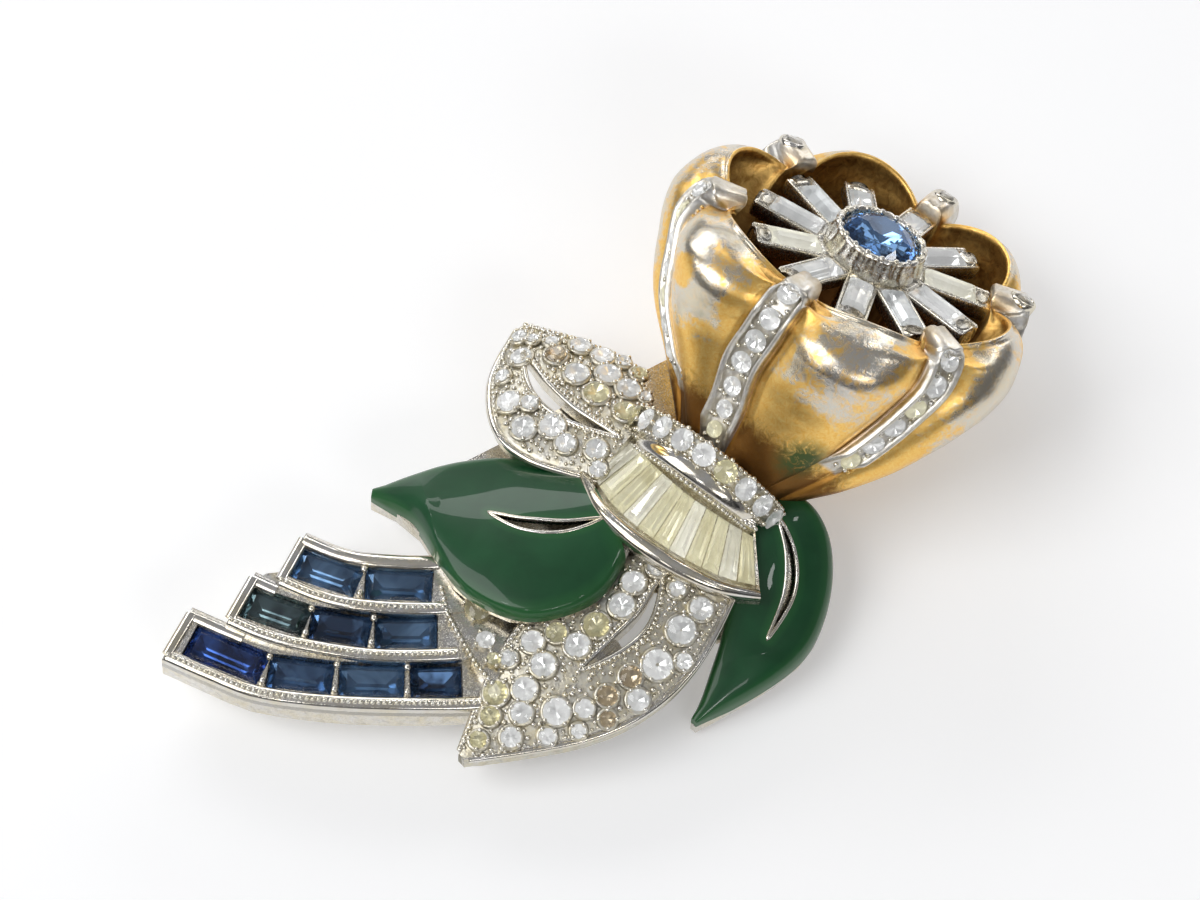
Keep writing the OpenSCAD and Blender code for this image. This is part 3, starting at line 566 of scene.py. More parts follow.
def foil(name, tint, rough=0.06, dark=None, amount=0.5, scale=0.7, metal=0.72, painted_glow=0.0):
    m = Mat(name)
    col = tint
    if dark:
        col = m.mix(m.ramp(m.noise(scale, 3, 0.6, 0.6), [(0.44, 0.0), (0.62, amount)]), tint, dark)
    m.set(Base_Color=col, Metallic=metal, Roughness=rough)
    # painted glow: emission in the foil's own colour, so the stone looks lit from within
    if painted_glow:
        m.set(Emission_Color=col, Emission_Strength=painted_glow)
    return m.m


CLEAR_TOP = glass("clear_glass", (0.98, 0.985, 0.98))
# the last argument of these foils is a painted glow, emission that brightens the stones
CLEAR_FOIL = foil("clear_foil", (1.0, 1.0, 0.99), 0.10, (0.66, 0.67, 0.66), 0.6, 0.6, 0.5, 0.16)
STRAW_TOP = glass("straw_glass", (0.97, 0.96, 0.84))
STRAW_FOIL = foil("straw_foil", (0.94, 0.915, 0.76), 0.12, (0.74, 0.69, 0.48), 0.5, 0.8, 0.35, 0.22)
YELLOW_TOP = glass("yellow_glass", (0.97, 0.95, 0.80))
YELLOW_FOIL = foil("yellow_foil", (0.95, 0.92, 0.74), 0.11, (0.66, 0.61, 0.42), 0.6, 0.8, 0.6, 0.08)
BROWN_TOP = glass("brown_glass", (0.94, 0.88, 0.76))
BROWN_FOIL = foil("brown_foil", (0.84, 0.76, 0.62), 0.12)
SKY_TOP = glass("sky_glass", (0.56, 0.74, 0.94))
SKY_FOIL = foil("sky_foil", (0.44, 0.62, 0.86), 0.05, None, 0.5, 0.7, 0.92)
BLUE_TOP = glass("steel_blue_glass", (0.42, 0.55, 0.68))
BLUE_FOIL = foil("steel_blue_foil", (0.46, 0.63, 0.84), 0.09, (0.13, 0.20, 0.30), 0.85, 0.35)
DEEP_TOP = glass("deep_blue_glass", (0.26, 0.36, 0.50))
DEEP_FOIL = foil("deep_blue_foil", (0.38, 0.55, 0.76), 0.08, (0.06, 0.10, 0.17), 0.9, 0.4)
GREY_TOP = glass("grey_green_glass", (0.38, 0.46, 0.48))
GREY_FOIL = foil("grey_green_foil", (0.40, 0.50, 0.52), 0.06, (0.10, 0.13, 0.15), 0.9, 0.35)
ROYAL_TOP = glass("royal_blue_glass", (0.24, 0.38, 0.68))
ROYAL_FOIL = foil("royal_blue_foil", (0.26, 0.42, 0.82), 0.07, (0.04, 0.06, 0.14), 0.9, 0.35)


def enamel():
    m = Mat("green_enamel")
    e = m.attr("edge")
    n = m.noise(0.35, 3, 0.5, 0.5)
    deep = m.mix(m.ramp(n, [(0.35, 0.0), (0.7, 1.0)]), (0.003, 0.056, 0.016), (0.007, 0.078, 0.024))
    col = m.mix(m.ramp(e, [(0.35, 0.0), (1.0, 0.85)]), deep, (0.018, 0.120, 0.028))
    m.set(Base_Color=col, Metallic=0.0, Roughness=0.42, Coat_Weight=0.5, Coat_Roughness=0.03, Coat_IOR=1.45,
          Specular_IOR_Level=0.25)
    h = m.noise(0.45, 2, 0.5, 0.0, (4, 4, 4))
    return m.bump(h, 0.12, 0.0003).m


ENAMEL = enamel()


# ------------------------------------------------------------------ flower cup
def cup_p(w, u, o=0.0, h=0.0, T=CUP):
    w, u = np.broadcast_arrays(np.asarray(w, float), np.asarray(u, float))
    g = along(T, w)
    ur = np.radians(u)
    c, e = np.cos(ur), np.radians(g[..., 2])
    a = g[..., 7] + (g[..., 3] + o) * np.sin(ur)
    b = (np.where(c > 0, g[..., 4], g[..., 5]) + o) * c
    s = g[..., 0] - np.sin(e) * b + h * np.cos(e)
    ca, sa = math.cos(math.radians(AZ)), math.sin(math.radians(AZ))
    return np.stack([AX + s * ca - a * sa, AY + s * sa + a * ca, g[..., 1] + np.cos(e) * b + h * np.sin(e)], -1)


def seam(w, q):
    return q[0] + q[3] * (1 - w) ** 2


def half_a(w):
    return STRIP_W / 2 * 57.3 / (along(CUP, w)[..., 3] + 1)


# across one strip, in half strip widths
ACROSS = np.array([-1.26, -1.10, -1.04, -0.97, -0.88, -0.78, -0.70, -0.62, -0.30, 0.0,
                   0.30, 0.62, 0.70, 0.78, 0.88, 0.97, 1.04, 1.10, 1.26])
PETAL_COLS = 20
TIP_W = 0.975
PUFF_W = [0.0, 0.2, 0.32, 0.45, 0.6, 0.72, 0.84, 0.93, 1.0]
PUFF = [0.0, 0.3, 1.0, 1.6, 2.05, 2.25, 2.2, 2.0, 1.7]


def strip_profile(d, floor):
    d = np.abs(d)
    edge = sstep(1.13, 0.97, d)
    well = sstep(0.76, 0.63, d)
    crown = np.sqrt(np.clip(1 - ((d - 0.86) / 0.18) ** 2, 0, 1)) * 0.10
    return edge * (1 - well * (1 - floor)) + crown


def mouth_drop(w):
    """How far the petals have rolled inwards near the mouth."""
    x = np.clip((np.asarray(w, float) - 0.76) / 0.24, 0, 1)
    return 1.25 * (1 - np.sqrt(1 - x ** 2 * 0.999))


def cup_surface():
    B = Build()
    ws = np.concatenate([np.linspace(0.0, 0.2, 7)[:-1], np.linspace(0.2, 0.98, 66), [0.988, 0.995, 1.0]])
    cols = []
    for k in range(6):
        cols += [(k, "s", x) for x in ACROSS] + [(k, "p", x) for x in np.linspace(0, 1, PETAL_COLS + 2)[1:-1]]

    def line(w, h=0.0, drop=0.0, curl=0.0, lobe=0.0, into=False):
        pts, at = [], []
        g = along(CUP, w)
        a = half_a(w)
        for k, kind, x in cols:
            q, r = STRIPS[k], STRIPS[(k + 1) % 6]
            u0, u1 = seam(w, q), seam(w, r) + (360 if k == 5 else 0)
            prev = STRIPS[k - 1]
            um = seam(w, prev) - (360 if k == 0 else 0)
            if kind == "s":
                u = u0 + a * x
            else:
                s, e = u0 + a * ACROSS[-1], u1 + a * ACROSS[0]
                u = s + (e - s) * x
            ph = (u - u0) / (u1 - u0) if u >= u0 else (u0 - u) / (u0 - um)
            side = ((u - u0) if u >= u0 else (u0 - u)) / a
            full = ((u1 - u0) if u >= u0 else (u0 - um)) / a
            ph2 = float(np.clip((min(side, full - side) - 0.95) / (full / 2 - 0.95), 0, 1))
            puff = float(np.interp(w, PUFF_W, PUFF)) * math.sin(math.pi / 2 * ph2) ** 0.6 - 0.25 * float(sstep(.3, .6, w))
            dist = min(abs(u - u0), abs(u - u1)) / a
            rise = STRIP_H * float(np.clip((w - q[1]) * 14, 0, 1))
            if into or kind == "p" and dist > 1.3:
                sp = 0.0
            else:
                fl = 0.45 + 0.55 * float(sstep(TIP_W - 0.02, TIP_W, w))
                sp = float(strip_profile(x, fl)) if kind == "s" else 0.0
            o = puff * (1 - min(1, sp * 1.2)) + sp * rise if not into else puff
            tip = max(0.0, 1 - (dist / 1.05) ** 2) ** 0.5 if dist < 1.05 else 0.0
            lb = abs(math.sin(math.pi * ph))
            hh = h + lobe * (1.6 * lb - 1.8) + curl * tip * 1.45
            oo = o - drop * (1.0 if into else 1 - 0.5 * tip) + (0.2 * curl * tip if not into else 0.0)
            pts.append((w, u, oo, hh))
            at.append((float(np.clip(math.sin(math.pi * ph), 0, 1)) ** 1.4 if not into else 0.0,
                       1.0 if (kind == "s" and abs(x) < 1.08 and rise > 0.05 and not into) else 0.0,
                       float(np.clip(1 - (dist - 1.05) / 0.55, 0, 1)) if dist > 1.0 else 0.0,
                       tip * float(lobe > 0.5)))
        p = np.array(pts)
        return cup_p(p[:, 0], p[:, 1], p[:, 2], p[:, 3]), np.array(at)

    rows, A, W, I = [], [], [], []
    for w in ws:
        p, a = line(w, drop=mouth_drop(w), lobe=float(sstep(0.9, 1.0, w)), curl=float(sstep(0.9, 1.0, w)))
        rows.append(p), A.append(a), W.append(w), I.append(0.0)
    for h, d, i in ((.05, 1.25, 0), (.10, 1.28, 0), (.14, 1.33, 0), (.16, 1.40, 0), (.14, 1.47, .1), (.09, 1.53, .4),
                    (.03, 1.57, .8)):
        p, a = line(1.0, h=h, drop=d, curl=1.0, lobe=1.0, into=d > 1.45)
        rows.append(p), A.append(a), W.append(1.0), I.append(float(i))
    for w in np.concatenate([[0.985, 0.96], np.linspace(0.93, FLOOR, 22)]):
        k = float(sstep(0.9, 1.0, w))
        p, a = line(w, drop=CUP_WALL + 0.3 + 0.4 * k, into=True, lobe=k, curl=k)
        rows.append(p), A.append(a), W.append(w), I.append(1.0)
    mid = rows[-1].mean(0)
    for s in (0.6, 0.25, 0.02):
        rows.append(mid + (rows[-1] - mid) * 0 + (rows[len(ws) + 7 + 23] - mid) * s)
        A.append(A[-1]), W.append(FLOOR), I.append(1.0)
    P = np.array(rows)
    P[..., 2] = np.maximum(P[..., 2], 0.03)
    A, W, I = np.array(A), np.array(W)[:, None], np.array(I)[:, None]
    body = sstep(0.36, 0.62, W) * np.ones_like(A[..., 0])
    B.grid(P, closed_v=True, bulge=A[..., 0] * body, strip=A[..., 1] * (I < 0.5), seam=A[..., 2],
           neck=(1 - sstep(0.20, 0.50, W)) * np.ones_like(A[..., 0]), inner=I * np.ones_like(A[..., 0]),
           # deep is a painted-shade mask: 1 low inside the cup, fading out towards the mouth
           deep=(1 - sstep(0.62, 0.93, W)) * np.ones_like(A[..., 0]),
           lip=A[..., 3])
    return B


cup = cup_surface()
cup.make("flower_petals", [GILT], ["flower_cup"], "gilt")


def strip_pt(w, u, o):
    """Place over a strip, following the roll of the mouth."""
    k = sstep(0.9, 1.0, np.minimum(w, 1.0))
    return cup_p(w, u, o - 0.5 * mouth_drop(np.minimum(w, 1.0)) + 0.2 * k, -0.35 * k)


def cup_normal(w, u, o):
    e = 0.01
    p = strip_pt(w, u, o)
    a, b = strip_pt(w + e, u, o) - p, strip_pt(w, u + 1.5, o) - p
    n = unit(np.cross(a, b))
    g = along(CUP, w)
    axis = cup_p(w, 0, -g[3])
    centre = (cup_p(w, 90, 0) + cup_p(w, 270, 0)) / 2
    return n if np.dot(n, p - centre) > 0 else -n


strip_stones, strip_beads, strip_gold = Build(), Build(), Build()
for k, q in enumerate(STRIPS):
    ws = np.linspace(q[1] + 0.035, TIP_W - 0.03, 200)
    line = np.array([strip_pt(w, seam(w, q), STRIP_H * 0.5) for w in ws])
    s = np.concatenate([[0], np.cumsum(np.linalg.norm(np.diff(line, axis=0), axis=1))])
    pos = s[-1] - 0.25
    while pos > 0.4:
        w = float(np.interp(pos, s, ws))
        u = seam(w, q)
        r = 0.52 + 0.16 * float(sstep(0.2, 0.6, w)) + 0.02 * math.sin(pos * 9)
        rise = STRIP_H * float(np.clip((w - q[1]) * 14, 0, 1))
        n = cup_normal(w, u, rise)
        round_gem(strip_stones, strip_pt(w, u, rise * 0.45) + n * 0.27, n, r, pos * 1.7,
                  (0, 1) if (k + int(pos)) % 5 else (2, 3), 0.52, 0.36, 0.34)
        for sgn in (-1, 1):
            for dl in (-0.5, 0.5):
                wq = w + dl * 2 * r / s[-1] * (q[2] - q[1]) * 0.98
                strip_beads.beads(strip_pt(wq, u + sgn * half_a(wq) * 0.46, rise * 0.5 + 0.22), 0.16)
        pos -= 2 * r + 0.28
    for sgn in (-1, 1):
        bw = []
        path = np.array([strip_pt(w, seam(w, q) + sgn * half_a(w) * 1.13,
                                  STRIP_H * 0.25 + 0.25 * along(CUP, w)[6]) for w in np.linspace(q[1] + 0.03, 0.9, 120)])
        pts = resample(path, 0.36)
        gold_side = (k == 1 and sgn == -1) or (k == 5 and sgn == -1) or (k in (2, 4) and sgn == 1)
        if k == 5 and sgn == -1:
            strip_gold.beads(pts[: len(pts) * 3 // 4], 0.19)
        elif gold_side:
            strip_gold.beads(pts, 0.12)
axis = unit(cup_p(1.0, 0, 0) - cup_p(0.8, 0, 0))
tip_metal = Build()
for k in (2, 3, 4):
    q = STRIPS[k]
    c = strip_pt(0.985, seam(0.985, q), 0.25)
    out = cup_normal(0.9, seam(0.9, q), 0.3)
    n = unit(axis * 1.0 + out * 0.15 + np.array([0, 0, 0.55]))
    M = frame_of(n, 0)
    a = np.radians(np.linspace(0, 360, 28, endpoint=False))
    rows = []
    for rad, h in ((0.3, -0.9), (0.66, -0.75), (0.84, -0.35), (0.88, 0.1), (0.85, 0.3), (0.76, 0.37), (0.68, 0.31), (0.64, 0.12),
                   (0.3, -0.05), (0.02, -0.05)):
        rows.append(c + n * h + (np.cos(a)[:, None] * M[0] + np.sin(a)[:, None] * M[1]) * rad)
    tip_metal.grid(np.array(rows), closed_v=True)
    round_gem(strip_stones, c + n * 0.26, n, 0.62, 0.3 * k, (0, 1), 0.50, 0.36, 0.30)
tip_metal.make("strip_tip_bezels", [SILVER_SOFT], None, "rhodium")
strip_stones.make("strip_stones", [CLEAR_TOP, CLEAR_FOIL, STRAW_TOP, STRAW_FOIL], None, "clear_stone")
strip_beads.make("strip_prongs", [SILVER_BEAD], None, "rhodium")
strip_gold.make("strip_rope_edges", [GOLD_BEAD], None, "gilt")


# ------------------------------------------------------------------ star
def star_matrix():
    a, e = math.radians(STAR_AZ), math.radians(90 - STAR_EL)
    rz = np.array([[math.cos(a), -math.sin(a), 0], [math.sin(a), math.cos(a), 0], [0, 0, 1]])
    ry = np.array([[math.cos(e), 0, math.sin(e)], [0, 1, 0], [-math.sin(e), 0, math.cos(e)]])
    return rz @ ry


SM = star_matrix()
SC = np.array(STAR_C)


def in_star(p):
    return SC + np.asarray(p, float) @ SM.T


def turn_z(p, deg):
    a = math.radians(deg)
    r = np.array([[math.cos(a), -math.sin(a), 0], [math.sin(a), math.cos(a), 0], [0, 0, 1]])
    return np.asarray(p, float) @ r.T


def trough_ring(x, scale=1.0, channel=1.0, dish=0.0):
    """Section of one ray: rounded underneath, open channel above."""
    a = np.radians(np.linspace(180, 360, 17))
    out = np.stack([np.cos(a) * 1.0, -0.4 + np.sin(a) * 1.0], -1)
    top_r = [[1.0, -0.08], [0.95, 0.0], [0.86, 0.0], [0.81, -0.05]]
    ch = -0.55 * channel - 0.02
    well = [[0.81, ch], [0.4, ch - 0.06 * channel], [-0.4, ch - 0.06 * channel], [-0.81, ch]]
    top_l = [[-0.81, -0.05], [-0.86, 0.0], [-0.95, 0.0], [-1.0, -0.08]]
    p = np.concatenate([out, top_r, well, top_l])
    c = np.array([0.0, -0.55])
    p = c + (p - c) * scale
    return np.stack([np.full(len(p), x), p[:, 0], p[:, 1]], -1)


star_metal, star_gems, end_discs = Build(), Build(), Build()
TINT = [0, 0, 1, 0, 2, 0, 0, 1, 0, 2, 0]
for k in range(RAYS):
    deg = RAY_TURN + 360 * k / RAYS
    rr = [(2.2, 1, 0), (3.05, 1, 0), (3.30, 1, 0), (3.36, 1, 1), (6.66, 1, 1), (6.71, 1, 0), (7.42, 1, 0),
          (7.54, 0.96, 0), (7.60, 0.88, 0)]
    star_metal.loft([in_star(turn_z(trough_ring(x, s, c), deg)) for x, s, c in rr], smooth=True)
    # dished disc on the end of the trough
    a = np.radians(np.linspace(0, 360, 24, endpoint=False))
    rings = []
    for rad, x in ((0.80, 7.60), (0.74, 7.66), (0.66, 7.64), (0.58, 7.52), (0.30, 7.46), (0.02, 7.45)):
        rings.append(in_star(turn_z(np.stack([np.full(24, x), np.cos(a) * rad, -0.52 + np.sin(a) * rad * 0.86], -1), deg)))
    end_discs.grid(np.array(rings), closed_v=True)
    rings = []
    for rad, z in ((0.72, 0.0), (0.66, 0.06), (0.58, 0.04), (0.44, -0.04), (0.22, -0.07), (0.02, -0.07)):
        rings.append(in_star(turn_z(np.stack([7.0 + np.cos(a) * rad * 0.62, np.sin(a) * rad, np.full(24, z)], -1), deg)))
    end_discs.grid(np.array(rings), closed_v=True)
    x0, x1 = RAY_IN + 0.45 + GAP, RAY_IN + 0.45 + GAP + 3.25
    quad = [[x0, -0.75, 0.0], [x1, -0.75, 0.0], [x1, 0.75, 0.0], [x0, 0.75, 0.0]]
    t = TINT[k] * 2
    step_gem(star_gems, in_star(turn_z(quad, deg)), SM @ np.array([0, 0, 1.0]), ((0.14, 0.20), (0.34, 0.34)), 0.1,
             ((0.28, 0.22),), 0.44, (t, t + 1))

# hub and scalloped collar, turned round the star's axis
th = np.radians(np.linspace(0, 360, 160, endpoint=False))
prof = [(0.3, -1.55, 0), (1.6, -1.5, 0), (2.5, -1.2, 0), (2.98, -0.4, 0), (3.10, 0.15, .4), (2.98, 0.6, 1), (2.88, 1.0, 1),
        (2.90, 1.3, 1), (2.85, 1.48, 1), (2.72, 1.57, .8), (2.56, 1.54, .5), (2.48, 1.42, .2), (2.42, 1.2, 0),
        (2.28, 0.9, 0), (1.0, 0.42, 0), (0.05, 0.42, 0)]
rows = []
for r, z, s in prof:
    rad = r + s * (0.10 * np.abs(np.cos(th * 9)) - 0.06)
    zz = z + s * 0.10 * np.abs(np.cos(th * 9))
    rows.append(in_star(np.stack([rad * np.cos(th), rad * np.sin(th), zz], -1)))
star_metal.grid(np.array(rows), closed_v=True)
for k in range(18):
    a = math.radians(20 * k + 10)
    star_metal.beads(in_star([2.62 * math.cos(a), 2.62 * math.sin(a), 1.5]), 0.22)
star_metal.make("star_metal", [SILVER], ["trembler_star"], "rhodium")
DARK_DISC = silver("dark_silver_discs", tone=(0.42, 0.41, 0.39), warm=(0.36, 0.30, 0.20), rough=(0.22, 0.36), bumpy=0.2)
end_discs.make("star_end_discs", [DARK_DISC], None, "rhodium")
GREY_CLEAR_TOP = glass("cool_clear_glass", (0.93, 0.95, 0.95))
# the last argument of these foils is a painted glow, emission that brightens the star's stones
GREY_CLEAR_FOIL = foil("cool_clear_foil", (0.97, 0.98, 0.98), 0.10, (0.55, 0.56, 0.56), 0.7, 0.6, 0.45, 0.16)
WARM_CLEAR_TOP = glass("warm_clear_glass", (0.96, 0.95, 0.90))
WARM_CLEAR_FOIL = foil("warm_clear_foil", (0.99, 0.98, 0.90), 0.12, (0.72, 0.70, 0.60), 0.6, 0.6, 0.4, 0.26)
star_gems.make("star_baguettes", [CLEAR_TOP, CLEAR_FOIL, GREY_CLEAR_TOP, GREY_CLEAR_FOIL, WARM_CLEAR_TOP,
                                  WARM_CLEAR_FOIL], ["star_baguette_%02d" % k for k in range(1, RAYS + 1)], "clear_stone")
centre = Build()
round_gem(centre, in_star([0, 0, COLLAR_H - 0.92]), SM @ np.array([0, 0, 1.0]), CENTRE_D / 2 - 0.04, 0.3,
          (0, 1), 0.48, 0.36, 0.34, 8)
centre.make("centre_gem", [SKY_TOP, SKY_FOIL], ["centre_stone"], "sky_stone")


# ------------------------------------------------------------------ leaves
def leaf_p(A, B, w, t, crown):
    w, t = np.broadcast_arrays(np.asarray(w, float), np.asarray(t, float))
    p = along(A, w) * (1 - t[..., None]) + along(B, w) * t[..., None]
    z = crown * np.minimum(1, 3.2 * (1.02 - w)) * np.maximum(0, np.sin(np.pi * np.clip(t, 0, 1))) ** 0.8
    return p + z[..., None] * np.array([0, 0, 1.0])


def leaf_n(A, B, w, t, crown):
    e = 0.01
    w, t = min(max(w, 2 * e), 1 - 2 * e), min(max(t, 2 * e), 1 - 2 * e)
    a = leaf_p(A, B, w + e, t, crown) - leaf_p(A, B, w - e, t, crown)
    b = leaf_p(A, B, w, t + e, crown) - leaf_p(A, B, w, t - e, crown)
    n = unit(np.cross(a, b))
    return n if n[2] > 0 else -n


def leaf_skin(B, A_, B_, crown, lift, depth, hole=None, rows=90, cols=44, w0=0.0, w1=1.0, mat=0, roundness=0.35,
              edge_attr=False):
    """Domed skin with rounded sides; faces inside the hole's outline are left out."""
    ws = np.linspace(w0, w1, rows)
    tt = np.linspace(0, 1, cols)
    L = along(A_, ws)
    R = along(B_, ws)
    side = unit((R - L) * np.array([1, 1, 0]))
    width = np.linalg.norm(R - L, axis=1)
    P, E = [], []
    for i, w in enumerate(ws):
        r = min(roundness, width[i] * 0.25)
        base = leaf_p(A_, B_, w, tt, crown) + [0, 0, lift]
        # pull the rim down into a rounded shoulder
        d = np.minimum(tt, 1 - tt) * width[i]
        k = np.clip(1 - d / r, 0, 1)
        base[:, 2] -= (1 - np.sqrt(np.clip(1 - k * k, 0, 1))) * r * 0.9
        low_l, low_r = base[0] - [0, 0, depth], base[-1] - [0, 0, depth]
        row = np.concatenate([[low_l], [base[0] - side[i] * lift * 0.5 - [0, 0, depth * 0.3]], base,
                              [base[-1] + side[i] * lift * 0.5 - [0, 0, depth * 0.3]], [low_r]])
        P.append(row)
        dd = np.concatenate([[0, 0], np.minimum(d, (w - w0) * 12 + 0.2), [0, 0]])
        dd = np.minimum(dd, (w1 - w) * 14 + 0.15)
        E.append(1 - np.clip(dd / 1.6, 0, 1))
    P, E = np.array(P), np.array(E)
    keep = None
    if hole is not None:
        mid = (P[:-1, :-1] + P[1:, 1:]) / 2
        keep = ~inside(hole, mid[..., :2])
        keep[:, :3] = True
        keep[:, -3:] = True
        dist = np.min(np.linalg.norm(P[:, :, None, :2] - resample(hole, 0.25, True)[None, None], axis=-1), axis=2)
        E = np.maximum(E, 1 - np.clip(dist / 0.9, 0, 1))
    B.grid(P, keep=keep, mat=mat, **({"edge": E} if edge_attr else {}))
    for row in (P[0], P[-1]):
        B.add(row, [tuple(range(len(row)))], mat, False, **({"edge": 1.0} if edge_attr else {}))


def on_leaf(A_, B_, crown, xy):
    """Height of the leaf's surface over points in plan, by nearest of a grid."""
    W, T = np.meshgrid(np.linspace(0, 1, 120), np.linspace(0, 1, 60), indexing="ij")
    G = leaf_p(A_, B_, W, T, crown).reshape(-1, 3)
    out = []
    for p in xy:
        k = np.argsort(np.sum((G[:, :2] - p[:2]) ** 2, axis=1))[:4]
        out.append([p[0], p[1], G[k, 2].mean()])
    out = np.array(out)
    for _ in range(2):
        out[1:-1, 2] = (out[:-2, 2] + out[1:-1, 2] * 2 + out[2:, 2]) / 4
    return out


skins, beads, pave = Build(), Build(), Build()
TINTS = {0: (0, 1), 1: (2, 3), 2: (4, 5)}
leaf_skin(skins, PAVE1_A, PAVE1_B, 0.8, 0.02, LEAF_T * 0.8, lens(SLIT_PAVE1, 1.18), 110, 60, mat=1)
leaf_skin(skins, PAVE2_A, PAVE2_B, 0.6, 0.02, LEAF_T * 0.8, lens(SLIT_PAVE2, 1.02), 130, 60, mat=1)


def pave_leaf(A_, B_, crown, stones, hole_line, hole_w, fill):
    hole = lens(hole_line, hole_w + 0.75)
    done = []
    for w, t, r, tint in stones:
        c = leaf_p(A_, B_, w, t, crown)
        if inside(hole, c[None])[0]:
            h = along(hole_line, 0.5)
            c[:2] += unit(c[:2] - h) * 0.3
        n = leaf_n(A_, B_, w, t, crown)
        r = r * 0.98
        for p, q in done:
            d = np.linalg.norm(c - p)
            if d < r + q + 0.05:
                r = max(0.36, d - q - 0.05)
        done.append((c, r))
        round_gem(pave, c + n * 0.30, n, r, rng.uniform(0, 6), TINTS[tint], 0.52, 0.36, 0.36)
        M = frame_of(n, rng.uniform(0, 6))
        a = np.linspace(0, 2 * np.pi, 20, endpoint=False)
        ringp = c + n * 0.13 + (np.cos(a)[:, None] * M[0] + np.sin(a)[:, None] * M[1]) * (r + 0.05)
        skins.tube(ringp, 0.15, 6, True, 1, up=n)
        for j in range(4):
            b = j * math.pi / 2 + 0.4
            beads.beads(c + n * 0.30 + (math.cos(b) * M[0] + math.sin(b) * M[1]) * (r + 0.04), 0.15)
    n_put = 0
    spots = []
    for _ in range(fill * 14):
        w, t = rng.uniform(0.01, 0.97), rng.uniform(0.05, 0.95)
        c = leaf_p(A_, B_, w, t, crown)
        if any(np.linalg.norm(c - p) < q + 0.24 for p, q in done) or inside(hole, c[None])[0]:
            continue
        if any(np.linalg.norm(c - p) < 0.34 for p in spots):
            continue
        spots.append(c)
        beads.beads(c + leaf_n(A_, B_, w, t, crown) * 0.06, rng.uniform(0.12, 0.2))
        n_put += 1
        if n_put >= fill:
            break


pave_leaf(PAVE1_A, PAVE1_B, 0.8, PAVE1_STONES, SLIT_PAVE1, 1.1, 150)
pave_leaf(PAVE2_A, PAVE2_B, 0.6, PAVE2_STONES, SLIT_PAVE2, 0.9, 190)

# rails of the paved slits, with milgrain
for A_, B_, crown, line, wd in ((PAVE1_A, PAVE1_B, 0.8, SLIT_PAVE1, 1.2), (PAVE2_A, PAVE2_B, 0.6, SLIT_PAVE2, 1.05)):
    out = on_leaf(A_, B_, crown, lens(line, wd, 40)) + [0, 0, 0.08]
    skins.tube(out, 0.16, 8, True, 0, 0.9)
    out = on_leaf(A_, B_, crown, lens(line, wd + 0.5, 40)) + [0, 0, 0.13]
    beads.beads(resample(out, 0.31, True), 0.145)

# outlines: milgrain on one edge of each paved leaf, smooth band on the other
W = np.linspace(0.0, 0.985, 90)
beads.beads(resample(leaf_p(PAVE1_A, PAVE1_B, W, 0.035, 0.8) + [0, 0, 0.06], 0.38), 0.19)
beads.beads(resample(leaf_p(PAVE1_A, PAVE1_B, W[50:], 0.96, 0.8) + [0, 0, 0.04], 0.36), 0.15)
skins.tube(leaf_p(PAVE1_A, PAVE1_B, W, 1.0, 0.8) + [0, 0, -0.12], 0.24, 10, False, 0)
beads.beads(resample(leaf_p(PAVE2_A, PAVE2_B, W[40:], 0.985, 0.6) + [0, 0, 0.06], 0.34), 0.16)
beads.beads(resample(leaf_p(PAVE2_A, PAVE2_B, W[:88], 0.05, 0.6) + [0, 0, 0.03], 0.34), 0.12)
skins.tube(leaf_p(PAVE2_A, PAVE2_B, W, 0.0, 0.6) + [0, 0, -0.12], 0.22, 10, False, 0)
skins.tube(leaf_p(PAVE2_A, PAVE2_B, W[40:], 1.0, 0.6) + [0, 0, -0.10], 0.20, 10, False, 0)

# enamelled leaves
big = Build()
leaf_skin(big, BIG_A, BIG_B, 1.2, 0.0, ENAMEL_T, lens(SLIT_BIG, 0.86), 150, 84, 0.035, 1.0, 0, 0.5, True)
big.make("large_leaf", [ENAMEL], ["large_leaf_enamel"], "enamel")
small = Build()
leaf_skin(small, SMALL_A, SMALL_B, 0.8, 0.0, ENAMEL_T, lens(SLIT_SMALL, 0.66), 150, 70, 0.03, 1.0, 0, 0.5, True)
small.make("small_leaf", [ENAMEL], ["small_leaf_enamel"], "enamel")
out = on_leaf(BIG_A, BIG_B, 1.2, lens(SLIT_BIG, 0.9, 40)) + [0, 0, -0.06]
skins.tube(out, 0.13, 8, True, 0)
out = on_leaf(SMALL_A, SMALL_B, 0.8, lens(SLIT_SMALL, 0.66, 40)) + [0, 0, -0.02]
skins.tube(out, 0.12, 8, True, 0)


# ------------------------------------------------------------------ fan, ridge, collar
def fan_p(th_, r, h):
    a, c = along(FAN_IN, th_), along(FAN_OUT, th_)
    return a + (c - a) * np.asarray(r, float)[..., None] + np.array([0, 0, 1.0]) * np.asarray(h, float)[..., None]


fan = Build()
d = 0.95 / FANS
for k in range(FANS):
    a, b = 0.025 + d * k + 0.003, 0.025 + d * (k + 1) - 0.003
    quad = [fan_p(a, 0.165, -0.34), fan_p(a, 0.875, -0.30), fan_p(b, 0.875, -0.30), fan_p(b, 0.165, -0.34)]
    tint = (0, 1) if k % 3 else (2, 3)
    step_gem(fan, quad, [0, 0, 1], ((0.14, 0.16), (0.30, 0.34)), 0.12, ((0.2, 0.22),), 0.42, tint)
fan.make("fan_baguettes", [STRAW_TOP, STRAW_FOIL, WARM_CLEAR_TOP, WARM_CLEAR_FOIL],
         ["fan_baguette_%02d" % k for k in range(1, FANS + 1)], "straw_stone")

